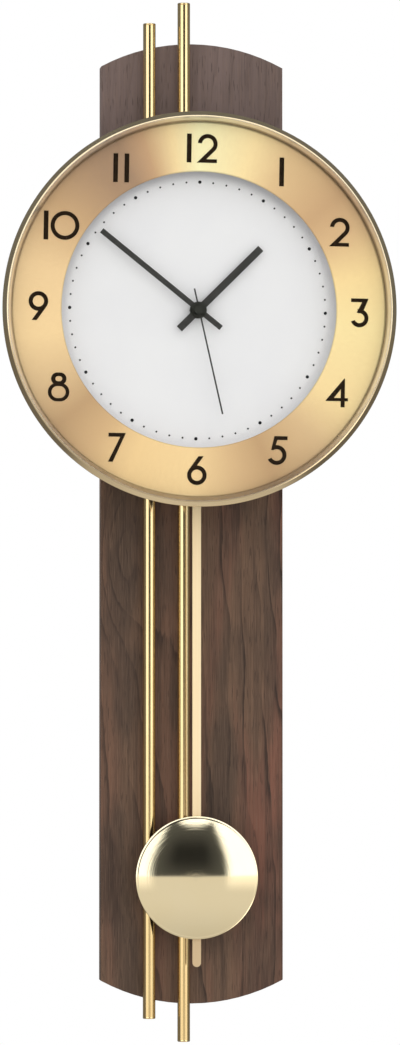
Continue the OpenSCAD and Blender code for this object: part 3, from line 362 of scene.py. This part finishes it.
# %% [markdown]
# ### The floor
# The clock hangs above a plain pale floor, with no wall behind it. The floor reaches from behind
# the clock to beyond the camera. Reflections don't see it, for the sky's own table stands there.

# %% A pale floor under the clock
FLOOR_Z = -0.72
floor_mesh = bpy.data.meshes.new("floor")
floor_corners = [(-2.5, -4, FLOOR_Z), (2.5, -4, FLOOR_Z), (2.5, 0.9, FLOOR_Z), (-2.5, 0.9, FLOOR_Z)]
floor_mesh.from_pydata(floor_corners, [], [(0, 1, 2, 3)])
floor = bpy.data.objects.new("floor", floor_mesh)
bpy.context.scene.collection.objects.link(floor)
floor.visible_glossy = False
paint = Finish("floor_paint")
speckle = paint.noise(paint.place(), scale=6.0, detail=3.0)
floor_tone = paint.mix(speckle, colour(226, 226, 224), colour(234, 234, 232))
floor_mesh.materials.append(paint.shade(floor_tone, 0.8))
print("floor at", round(FLOOR_Z * 1000), "mm")

# %% [markdown]
# ## Finishes
# Each finish is a recipe with the real thing's detail at its real scale: grain in the veneer, draw
# lines along the brass, brushing round the dial ring, and a fine moulded texture on the plastic.
# The light on matt surfaces is even, so what falls into shade or gleams on them is in their colour.
#
# ### Walnut veneer
# The board is faced with veneer, a thin flat cut through a log, so its lines are the log's rings. A
# wave texture gives lines as well, but too regular ones. Here the log is a height worked out at
# each point, and pores, fibres, streaks and clouds are laid over its lines one by one.

# %% Walnut veneer
HILL_X, HILL_Z = -0.047, -0.285


def walnut():
    """Veneer with upright grain. The figure is the height of an imagined log, cut by this board: a
    bent x, plus noise that is stretched along z, plus one low hill, 4 / (1 + distance squared), at
    the upper left. Where that height crosses a whole number there is a growth line, so lines run
    upright where x rules and curl round the hill as cathedrals do. The upper end is paler."""
    f = Finish("walnut")
    x, y, z = f.axes()
    hill_x, hill_z = (x - HILL_X) * 62.0, (z - HILL_Z) * 19.0
    hill = 4.0 / (1 + hill_x * hill_x + hill_z * hill_z)
    sweep = f.noise(f.stretched(6.0, 1.0, 2.0), scale=1.0, detail=1.0)
    curl = f.noise(f.stretched(26.0, 1.0, 6.5), scale=1.0, detail=2.0)
    jitter = f.noise(f.stretched(240.0, 1.0, 26.0), scale=1.0, detail=3.0)
    log = x * 96.0 + y * 70.0 + sweep * 9.0 + curl * 2.4 + jitter * 0.42 + hill
    ripple = log.fraction()
    line = ripple.step(0.74, 0.97) * (1 - ripple.step(0.97, 1.0))
    body = ripple.step(0.0, 0.9)
    strength = f.noise(f.stretched(60.0, 1.0, 9.0), scale=1.0, detail=2.0)
    right_side = x.step(-0.03, 0.04) * 0.35 + 0.65
    line = line * strength.step(0.36, 0.58) * right_side
    warm = f.noise(f.stretched(32.0, 1.0, 4.0), scale=1.0, detail=2.0)
    streak = f.noise(f.stretched(420.0, 30.0, 5.0), scale=1.0, detail=4.0, roughness=0.7)
    fibre = f.noise(f.stretched(1900.0, 60.0, 60.0), scale=1.0, detail=2.0)
    pore = f.noise(f.stretched(1100.0, 200.0, 90.0), scale=1.0, detail=1.0).step(0.6, 0.7)
    cloud = f.noise(f.stretched(34.0, 1.0, 11.0), scale=1.0, detail=3.0)
    upper = z.step(-0.13, -0.01)
    tone = f.mix(upper, colour(106, 80, 61), colour(116, 98, 93))
    more_at = x.step(-0.03, 0.05) * 0.65 + z.step(-0.30, -0.5) * 0.15 + 0.2
    redder = warm.step(0.42, 0.58) * more_at
    tone = f.mix(redder * (0.8 - upper * 0.8), tone, colour(123, 76, 60))
    tone = f.mix(cloud.step(0.44, 0.62) * (0.66 - upper * 0.45), tone, colour(64, 51, 41))
    tone = f.mix(body * (0.26 - upper * 0.18), tone, colour(62, 46, 38))
    tone = f.mix(streak.step(0.44, 0.60) * (0.42 - upper * 0.27), tone, colour(62, 45, 36))
    tone = f.mix(line * (0.85 - upper * 0.7), tone, colour(36, 24, 18))
    tone = f.mix(fibre.step(0.4, 0.8) * 0.22, tone, colour(148, 118, 96))
    tone = f.mix(pore * 0.42, tone, colour(42, 29, 23))
    gloss = 0.45 + streak * 0.12
    relief = f.bump(1 - pore * 0.8 - line * 0.2, 0.25, 0.0002)
    return f.shade(tone, gloss, Specular_IOR_Level=0.3, Coat_Weight=0.08, Coat_Roughness=0.25,
                   Normal=relief)


# %% [markdown]
# ### Drawn metal
# The two tubes were pulled through a die, which leaves faint lines along them. A noise stretched on
# one axis gives such lines. They stay faint, because the reflections make most of the look.

# %% Drawn metal
def drawn_metal(name, bright, dull, rough, grain=(900.0, 900.0, 6.0), wave=0.0003):
    """Metal with faint lines along its length, from a noise that is stretched on one axis."""
    f = Finish(name)
    lines = f.noise(f.stretched(*grain), scale=1.0, detail=3.0)
    cloud = f.noise(f.place(), scale=35.0, detail=2.0)
    tone = f.mix((lines * 0.6 + cloud * 0.4).step(0.3, 0.7), bright, dull)
    gloss = rough * 0.9 + cloud * rough * 0.2
    return f.shade(tone, gloss, 1.0, Normal=f.bump(lines, 0.03, wave))


# %% [markdown]
# ### Turned metal
# The bezel and the bob were turned on a lathe, so their finest marks are rings. A noise of the
# radius alone gives rings without a seam. The bezel's bevel down to the glass looks more like
# silver than gold, so the recipe takes a second tone inside a given radius.

# %% Turned metal
RINGS_PER_M = 2600.0


def spun_metal(name, bright, dull, rough, centre_z, pale_inside=0.0):
    """Metal turned on a lathe: fine rings round the piece's own axis, which runs along y. Inside
    the radius pale_inside, in metres, the plating looks more like silver. Next to the glass it is
    darkened as painted shade, and its lowest stretch as a painted dark reflection."""
    f = Finish(name)
    _, drop, radius = f.around(centre_z)
    ring = f.node("ShaderNodeTexNoise", {"noise_dimensions": "1D"},
                  {"W": radius * RINGS_PER_M, "Scale": 1.0, "Detail": 2.0})
    cloud = f.noise(f.place(), scale=30.0, detail=2.0)
    tone = f.mix((ring * 0.5 + cloud * 0.5).step(0.3, 0.7), bright, dull)
    gloss = rough * 0.85 + ring * rough * 0.3
    if pale_inside:
        inside = 1 - radius.step(pale_inside - 0.0002, pale_inside + 0.0002)
        # painted shade: the bevel's innermost stretch, next to the glass, is made darker
        painted_shade_foot = 1 - radius.step(pale_inside - 0.0023, pale_inside - 0.0015)
        tone = f.mix(inside * 0.8, tone, colour(236, 232, 226))
        # painted dark reflection: the bevel gets darker the lower it lies round the clock
        painted_reflection_low = inside * (drop / radius * -1.0).step(0.35, 0.95)
        tone = f.mix(painted_shade_foot.bigger(painted_reflection_low) * 0.7, tone, colour(120, 100, 66))
        gloss = gloss + inside * 0.15
    return f.shade(tone, gloss, 1.0, Normal=f.bump(ring, 0.05, 0.0002))


# %% [markdown]
# ### The brushed ring of the numerals
# The ring was brushed outwards from its axis. Such metal gleams in fans, where the brush lines face
# a light. A polished metal in this sky would show other things, so the fans are in the colour
# instead: a ramp over the angle, with the hours of the dial as its places.

# %% The brushed ring of the numerals
FANS = [
    (0.0, (253, 245, 190)), (0.6, (255, 229, 168)), (1.0, (229, 195, 142)), (1.7, (207, 168, 122)),
    (2.1, (224, 187, 136)), (2.6, (253, 223, 158)), (3.2, (255, 232, 167)), (4.1, (252, 224, 162)),
    (4.6, (222, 189, 140)), (5.2, (198, 161, 115)), (5.6, (222, 186, 135)), (6.1, (250, 217, 157)),
    (6.8, (246, 211, 150)), (7.3, (215, 178, 128)), (7.7, (195, 159, 114)), (8.1, (222, 189, 140)),
    (8.7, (250, 217, 160)), (9.5, (243, 209, 155)), (10.2, (205, 168, 122)),
    (10.8, (172, 139, 106)), (11.1, (166, 134, 104)), (11.4, (202, 162, 120)),
    (11.7, (248, 221, 162)),
]
RING_OPENING_R = 0.0872
RING_EDGE_SHADE_R = 0.1174


def dial_ring_gold():
    """Brushed ring: the sheen of radial brushing stands as pale and copper fans round the dial.
    The fans are stops over the angle, and fine noise in the angle gives the brush marks."""
    f = Finish("ring_gold")
    x, drop, radius = f.around(HAND_AXIS_Z)
    turn = (x * -1.0).atan2(drop * -1.0) / math.tau + 0.5
    stops = [(hour / 12, colour(*tint)) for hour, tint in FANS] + [(1.0, colour(*FANS[0][1]))]
    fan = f.node("ShaderNodeValToRGB", {"stops": stops}, {0: turn})
    along = f.node("ShaderNodeCombineXYZ", None, {0: turn * 90.0, 1: radius * 60.0})
    brush = f.node("ShaderNodeTexNoise", {"noise_dimensions": "2D"},
                   {"Vector": along, "Scale": 4.0, "Detail": 4.0, "Roughness": 0.7})
    tone = f.mix(brush.step(0.35, 0.7) * 0.08, fan, colour(214, 168, 112))
    gloss = 0.42 + brush * 0.16
    # painted shadow: the ring's outer edge is made darker where the bezel shades it, and a darker
    # line runs along its inner edge, where the ring's thickness shows
    groove = radius.step(RING_EDGE_SHADE_R, RING_EDGE_SHADE_R + 0.0008)
    inner_edge = 1 - radius.step(RING_OPENING_R + 0.0001, RING_OPENING_R + 0.0008)
    tone = f.mix(groove * 0.6 + inner_edge * 0.35, tone, colour(112, 86, 48))
    return f.shade(tone, gloss, 0.05, Normal=f.bump(brush, 0.05, 0.0002))


# %% [markdown]
# ### Moulded plastic and plain paint
# Cases, gears, buttons, rubber and painted steel have no figure of their own. A fine pebble, as a
# mould leaves it, and a slow drift in tone keep them from looking like a flat fill.

# %% Moulded and plainly painted surfaces
def moulded(name, tone, rough, speck=0.12):
    """Moulded or painted stuff: a fine pebble in the gloss and relief, and a slow drift in tone."""
    f = Finish(name)
    pebble = f.noise(f.place(), scale=2500.0, detail=2.0)
    drift = f.noise(f.place(), scale=25.0, detail=2.0)
    base = f.mix((pebble * 0.4 + drift * 0.6).step(0.3, 0.7), tone, scaled(tone, 1 - speck))
    gloss = rough * 0.9 + pebble * rough * 0.2
    return f.shade(base, gloss, Normal=f.bump(pebble, 0.1, 0.0001))


# %% [markdown]
# ### The dial's paint
# The dial is a shallow dish, whose edge turns up under the ring and lies in shade there. The even
# light gives next to no shade, so it is in the colour: a grey that grows towards the edge.

# %% The dial's white paint
def dial_white():
    """Fine matt white paint. The dial's edge is turned up in a small curve, which looks grey, most
    of all under the ring's upper part: the grey grows with the radius and with the height."""
    f = Finish("dial_white")
    _, drop, radius = f.around(HAND_AXIS_Z)
    pebble = f.noise(f.place(), scale=2500.0, detail=2.0)
    drift = f.noise(f.place(), scale=25.0, detail=2.0)
    base = f.mix((pebble * 0.4 + drift * 0.6).step(0.3, 0.7), colour(236, 236, 236),
                 colour(232, 232, 233))
    curve = radius.step(RING_OPENING_R - 0.0060, RING_OPENING_R + 0.0012)
    side = (drop / radius * 0.3 + 0.6) * curve
    base = f.mix(side, base, colour(158, 157, 160))
    return f.shade(base, 0.55 + pebble * 0.1, Specular_IOR_Level=0.3,
                   Normal=f.bump(pebble, 0.08, 0.0001))


# %% [markdown]
# ### The hands' paint
# The hands are dark and satin. The cap on their hub is darker and has a groove, half a millimetre
# wide. At that size a bump does as well as a cut in the mesh, so the finish draws it, and it
# paints the groove near black as painted shade.

# %% The hands' dark paint
HUB_R, GROOVE_IN, GROOVE_OUT, SOFT = 0.0054, 0.0028, 0.0033, 0.0002


def hand_paint():
    """Dark satin paint. The hub's cap is darker, and its fine groove has painted shade."""
    f = Finish("hand_grey")
    radius = f.around(HAND_AXIS_Z)[2]
    pebble = f.noise(f.place(), scale=3500.0, detail=2.0)
    base = f.mix(pebble.step(0.3, 0.7), colour(58, 58, 55), colour(50, 50, 47))
    beyond_in = radius.step(GROOVE_IN - SOFT, GROOVE_IN + SOFT)
    beyond_out = radius.step(GROOVE_OUT - SOFT, GROOVE_OUT + SOFT)
    groove = beyond_in * (1 - beyond_out)
    hub = 1 - radius.step(HUB_R - SOFT, HUB_R + SOFT)
    base = f.mix(hub * 0.8, base, colour(40, 43, 34))
    # painted shade: the groove round the axis is made near black, besides being sunk by the bump
    base = f.mix(groove * 0.8, base, colour(16, 17, 12))
    return f.shade(base, 0.36 + pebble * 0.08, Specular_IOR_Level=0.35,
                   Normal=f.bump(pebble - groove * 2.0, 0.15, 0.0001))


# %% [markdown]
# ### The pendulum's bar
# The bar is a flat strip, brushed along its length. It gleams softly and mirrors little, so it is
# made more like a gold paint with fine lines than like the polished tubes.

# %% The pendulum bar's satin gold
def bar_brass():
    """Satin strip, brushed along its length. Its lower end is darker, as painted shade."""
    f = Finish("bar_gold")
    z = f.axes()[2]
    brush = f.noise(f.stretched(1400.0, 1400.0, 9.0), scale=1.0, detail=3.0)
    # painted shade: the strip's lower end is made darker
    painted_shade_low_end = z.step(-0.40, -0.53)
    bright = f.mix(painted_shade_low_end, colour(255, 232, 188), colour(208, 182, 144))
    tone = f.mix(brush.step(0.3, 0.7) * 0.5, bright, colour(240, 212, 160), "MULTIPLY")
    tone = f.mix(0.7, tone, bright)
    return f.shade(tone, 0.38 + brush * 0.12, 0.15, Normal=f.bump(brush, 0.05, 0.0002))


# %% [markdown]
# ### Ink, plain metal and glass
# The numerals and dots are printed, and the screws, hanger and contacts are plated or rolled metal.
# The glass is real glass to the camera. A renderer would find too little light behind such a pane,
# so for light on its way to the dial it is simply clear.

# %% Printed ink
def printed(name, tone):
    """A thin layer of matt ink, with the fine grain of the screen it was pressed through."""
    f = Finish(name)
    mesh_grain = f.noise(f.place(), scale=4000.0, detail=2.0)
    base = f.mix(mesh_grain.step(0.4, 0.8), tone, scaled(tone, 1.5, 0.002))
    return f.shade(base, 0.6 + mesh_grain * 0.1, Specular_IOR_Level=0.1,
                   Normal=f.bump(mesh_grain, 0.1, 0.00005))


# %% Plated and rolled metal
def bare_metal(name, tone, rough):
    """Plated or rolled metal: faint cloudy gloss and fine scratches along x."""
    f = Finish(name)
    scratch = f.noise(f.stretched(60.0, 1500.0, 1500.0), scale=1.0, detail=3.0)
    cloud = f.noise(f.place(), scale=120.0, detail=2.0)
    base = f.mix((scratch * 0.5 + cloud * 0.5).step(0.3, 0.7), tone, scaled(tone, 0.75))
    gloss = rough * 0.8 + cloud * rough * 0.5
    return f.shade(base, gloss, 1.0, Normal=f.bump(scratch, 0.08, 0.0001))


# %% Mineral glass
def clear_glass():
    """Mineral glass: it bends light, but lets the studio's light fall straight onto the dial."""
    f = Finish("glass")
    smear = f.noise(f.place(), scale=20.0, detail=2.0)
    pane = f.node("ShaderNodeBsdfPrincipled", None, {
        "Base Color": WHITE, "Roughness": smear * 0.01, "Transmission Weight": 1.0, "IOR": 1.45})
    clear = f.node("ShaderNodeBsdfTransparent")
    outputs = f.node("ShaderNodeLightPath").socket.node.outputs
    soft = Term(f, outputs["Is Shadow Ray"]).bigger(Term(f, outputs["Is Diffuse Ray"]))
    return f.show(f.node("ShaderNodeMixShader", None, {0: soft, 1: pane, 2: clear}))


# %% [markdown]
# ### Every finish by name
# The names are the record's slots. Colours are given as the eye reads them, and the last number of
# most lines is the roughness.

# %% Make all the finishes
BOB_Z = -0.4892
BEZEL_PALE_R = 0.1213
FINISHES = {
    "walnut": walnut(),
    "zinc_plate": bare_metal("zinc_plate", colour(190, 194, 196), 0.35),
    "black_rubber": moulded("black_rubber", colour(30, 30, 30), 0.8),
    "tube_brass": drawn_metal("tube_brass", colour(246, 222, 168), colour(238, 212, 156), 0.13,
                              wave=0.00005),
    "dark_paint": moulded("dark_paint", colour(40, 37, 32), 0.4),
    "bezel_gold": spun_metal("bezel_gold", colour(230, 214, 180), colour(220, 203, 168), 0.15,
                             HAND_AXIS_Z, pale_inside=BEZEL_PALE_R),
    "glass": clear_glass(),
    "ring_gold": dial_ring_gold(),
    "print_brown": printed("print_brown", colour(32, 19, 2)),
    "print_black": printed("print_black", colour(34, 34, 36)),
    "dial_white": dial_white(),
    "case_black": moulded("case_black", colour(34, 34, 35), 0.42),
    "hand_grey": hand_paint(),
    "gear_plastic": moulded("gear_plastic", colour(226, 224, 214), 0.4),
    "rotor_dark": bare_metal("rotor_dark", colour(96, 96, 98), 0.5),
    "stator_steel": bare_metal("stator_steel", colour(160, 162, 165), 0.4),
    "copper_wire": drawn_metal("copper_wire", colour(214, 128, 78), colour(180, 96, 54), 0.3,
                               (1500.0, 6.0, 1500.0)),
    "circuit_green": moulded("circuit_green", colour(30, 92, 58), 0.35),
    "chip_black": moulded("chip_black", colour(28, 28, 30), 0.5),
    "ferrite": moulded("ferrite", colour(58, 56, 56), 0.55, speck=0.3),
    "cell_sleeve": moulded("cell_sleeve", colour(70, 92, 118), 0.3),
    "contact_nickel": bare_metal("contact_nickel", colour(206, 202, 192), 0.25),
    "button_grey": moulded("button_grey", colour(150, 152, 154), 0.45),
    "arm_white": moulded("arm_white", colour(232, 230, 222), 0.45),
    "bar_gold": bar_brass(),
    "bob_gold": spun_metal("bob_gold", colour(252, 242, 208), colour(250, 238, 200), 0.055,
                           BOB_Z),
}
print(len(FINISHES), "finishes")

# %% [markdown]
# ## Putting the finishes on the solids
# The record says which finish each node has. A node keeps its mesh, and only its material changes.

# %% Dress every solid
SLOT_OF = {part["node"]: part["material_slot"] for part in frame["record"]["subparts"]}
BODY_OF = {node: body for body, members in frame["record"]["behaviour"]["bodies"].items()
           for node in members}
for name, solid in NODES.items():
    for slot in solid.material_slots:
        slot.material = FINISHES[SLOT_OF[name]]
print("dressed", len(NODES), "solids")

# %% [markdown]
# ## Making a mesh from arrays
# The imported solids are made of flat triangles. That is fine for a board, but a mirror shows every
# facet, so the polished pieces are worked out again as smooth surfaces of the same size. A shape is
# a grid of points, and neighbours in the grid share a face. A new piece then takes the place of one
# solid: it gets the same finish and rides on the same body.

# %% Put a new piece in a solid's place
def settle(name, mesh, node, crease):
    """Closes seams, turns faces outwards, shades smooth up to the crease angle, and puts the new
    piece in the place of the solid it stands for, with that solid's finish and motion."""
    work = bmesh.new()
    work.from_mesh(mesh)
    bmesh.ops.remove_doubles(work, verts=work.verts, dist=1e-6)
    bmesh.ops.recalc_face_normals(work, faces=work.faces)
    work.to_mesh(mesh)
    work.free()
    mesh.shade_smooth()
    mesh.set_sharp_from_angle(angle=math.radians(crease))
    piece = bpy.data.objects.new(name, mesh)
    bpy.context.scene.collection.objects.link(piece)
    mesh.materials.clear()
    mesh.materials.append(FINISHES[SLOT_OF[node]])
    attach(piece, BODY_OF[node])
    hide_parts(node)
    print(name, len(mesh.polygons), "faces")


# %% From a grid of points to a mesh
def grid_mesh(name, points, closed_rows):
    """A mesh from points[row, column]. Columns always close on themselves; rows do when asked.
    Several grids may be given at once, as points[piece, row, column]."""
    if points.ndim == 3:
        points = points[None]
    pieces, rows, columns = points.shape[:3]
    row, column = np.meshgrid(np.arange(rows), np.arange(columns), indexing="ij")
    if not closed_rows:
        row, column = row[:-1], column[:-1]
    below = (row + 1) % rows * columns
    beside = (column + 1) % columns
    corners = [row * columns + column, below + column, below + beside, row * columns + beside]
    faces = np.stack(corners, axis=-1).reshape(-1, 4)
    starts = np.arange(pieces) * rows * columns
    faces = (faces[None] + starts[:, None, None]).reshape(-1, 4)
    mesh = bpy.data.meshes.new(name)
    mesh.from_pydata(points.reshape(-1, 3).tolist(), [], faces.tolist())
    return mesh


# %% [markdown]
# ### Turning a profile
# Every smooth piece of this clock is round, so all come from one idea: a profile, which is a list
# of radii with a depth or a height, carried round an axis. Whole arrays hold it, one row for each
# profile point and one column for each angle.

# %% Lathe shapes about a level and an upright axis
def turned(profile, centre, columns):
    """Points of a lathe shape whose axis runs along y through centre (x, z). Profile point (r, y)
    at angle a goes to x = centre x + r sin a, z = centre z + r cos a."""
    radius, depth = np.asarray(profile).T
    angle = np.linspace(0, math.tau, columns, endpoint=False)
    x = centre[0] + np.outer(radius, np.sin(angle))
    z = centre[1] + np.outer(radius, np.cos(angle))
    return np.stack([x, np.broadcast_to(depth[:, None], x.shape), z], axis=-1)


def upright(profile, centre, columns):
    """The same for an upright axis through centre (x, y), with profile points (r, z)."""
    radius, level = np.asarray(profile).T
    angle = np.linspace(0, math.tau, columns, endpoint=False)
    x = centre[0] + np.outer(radius, np.sin(angle))
    y = centre[1] + np.outer(radius, np.cos(angle))
    return np.stack([x, y, np.broadcast_to(level[:, None], x.shape)], axis=-1)


# %% Arcs for profiles, and the solids' sizes
def arc(centre, radius, start, end, steps):
    """Points (r, y) on an arc, from start to end degrees, counted from +r towards +y."""
    turn = np.radians(np.linspace(start, end, steps))
    return [(centre[0] + radius * math.cos(t), centre[1] + radius * math.sin(t)) for t in turn]


def size_of(node):
    """A node's centre and size, as numbers in metres."""
    low, high = (np.array(corner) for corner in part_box(node))
    return (low + high) / 2, high - low


for node in ("bezel", "bob_shell", "left_tube", "right_tube"):
    print(node, "measures", np.round(size_of(node)[1] * 1000, 2).tolist(), "mm")

# %% [markdown]
# ## The bezel
# The bezel is a turned ring: a side, a broad chamfer that leans outwards, a narrow one beside it
# that catches a line of light, and a bevel down to the glass. It is one profile carried round the
# clock's axis. Polishing eases every edge, so each corner is replaced by a short curve.

# %% Ease the corners of a profile
MM = 0.001


def eased(corners, reach):
    """Rounds a closed profile. Near each corner the line bends as a quadratic curve, from a point
    `reach` before the corner to one as far behind it. One point more on each side keeps the
    flats flat."""
    corners = np.asarray(corners, dtype=float)
    back = np.roll(corners, 1, axis=0) - corners
    ahead = np.roll(corners, -1, axis=0) - corners
    start = back * np.minimum(reach / np.linalg.norm(back, axis=1), 0.4)[:, None]
    end = ahead * np.minimum(reach / np.linalg.norm(ahead, axis=1), 0.4)[:, None]
    t = np.linspace(0, 1, 7)[None, :, None]
    curve = (1 - t) ** 2 * start[:, None] + t ** 2 * end[:, None]
    support = np.concatenate([start[:, None] * 1.2, curve, end[:, None] * 1.2], axis=1)
    return (corners[:, None] + support).reshape(-1, 2)


# %% Turn the bezel
# How far each circle of the profile lies inside the outer one
LIP_IN, WALL_IN, EDGE_IN, TAPER = 6.3 * MM, 4.1 * MM, 3.6 * MM, 1.4 * MM
LEAN = math.radians(42)
NARROW, NARROW_LEAN = 0.9 * MM, math.radians(24)
EASE = 0.3 * MM
middle, size = size_of("bezel")
outer_r = size[0] / 2
front_y = middle[1] - size[1] / 2
back_y = middle[1] + size[1] / 2
glass_front_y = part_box("glass")[0][1]
lip_r, edge_r, wall_r = outer_r - LIP_IN, outer_r - EDGE_IN, outer_r - WALL_IN
narrow_r, narrow_y = edge_r + NARROW, front_y + NARROW * math.tan(NARROW_LEAN)
side_y = narrow_y + (outer_r - narrow_r) * math.tan(LEAN)
profile = [(wall_r, back_y), (outer_r - TAPER, back_y), (outer_r, side_y), (narrow_r, narrow_y),
           (edge_r, front_y), (lip_r, glass_front_y), (wall_r, glass_front_y)]
head = (middle[0], middle[2])
points = turned(eased(profile, EASE), head, columns=256)
settle("bezel_turned", grid_mesh("bezel_turned", points, True), "bezel", crease=60)

# %% [markdown]
# ## The bob
# The bob is a spun brass dome with a thin rim that slopes back a little. A sphere's cap is one
# formula: at angle t from the apex, the radius is R sin t and the depth R (1 - cos t). The rim's
# edge is rolled.

# %% Spin the bob
RIM_W, RIM_T, WALL = 1.2 * MM, 1.8 * MM, 0.8 * MM
ROLL, SLOPE, STEP = 0.35 * MM, 0.35 * MM, 0.15 * MM
middle, size = size_of("bob_shell")
bob_r = size[0] / 2
apex_y = middle[1] - size[1] / 2
bob_back_y = middle[1] + size[1] / 2
cap_r = bob_r - RIM_W
dome = size[1] - RIM_T
sphere_r = (cap_r ** 2 + dome ** 2) / (2 * dome)
rim_y = apex_y + dome
tilt = np.linspace(0, math.asin(cap_r / sphere_r), 60)
outside = np.stack([sphere_r * np.sin(tilt), apex_y + sphere_r * (1 - np.cos(tilt))], axis=-1)
inside = outside * [1 - WALL / bob_r, 1] + [0, WALL]
profile = outside.tolist() + [(cap_r + STEP, rim_y)]
profile += arc((bob_r - ROLL, rim_y + SLOPE + ROLL), ROLL, -70, 0, 6)
profile += [(bob_r, bob_back_y), (bob_r - WALL, bob_back_y), (bob_r - WALL, rim_y + WALL)]
profile += inside[::-1].tolist()
bob = (middle[0], middle[2])
points = turned(profile, bob, columns=200)
settle("bob_spun", grid_mesh("bob_spun", points, False), "bob_shell", crease=28)

# %% [markdown]
# ## The tubes and their caps
# Two drawn brass tubes stand in front of the board. Each is a hollow ring profile carried upwards.
# The caps are small turned lids with an eased edge, and they leave a fine seam against the tube.

# %% Draw the tubes and turn the caps
CAP_T, CAP_EASE, TUBE_WALL, SEAM = 1.3 * MM, 0.5 * MM, 1.0 * MM, 0.05 * MM
lids = []
for node in ("left_tube", "right_tube"):
    middle, size = size_of(node)
    tube_r = size[0] / 2
    low, high = middle[2] - size[2] / 2, middle[2] + size[2] / 2
    profile = [(tube_r - SEAM, low), (tube_r, low + SEAM), (tube_r, high - SEAM),
               (tube_r - SEAM, high), (tube_r - TUBE_WALL, high), (tube_r - TUBE_WALL, low)]
    place = (middle[0], middle[1])
    points = upright(profile, place, columns=96)
    settle(node + "_drawn", grid_mesh(node + "_drawn", points, True), node, crease=28)
    for level, way in ((low, -1), (high, 1)):
        flat = [(0, 0), (tube_r - SEAM, 0), (tube_r, SEAM), (tube_r, CAP_T - CAP_EASE)]
        edge = arc((tube_r - CAP_EASE, CAP_T - CAP_EASE), CAP_EASE, 0, 90, 7)
        profile = [(r, level + way * up) for r, up in flat + edge + [(0, CAP_T)]]
        lids.append(upright(profile, place, columns=96))
settle("caps_turned", grid_mesh("caps_turned", np.stack(lids), False), "tube_caps", crease=50)
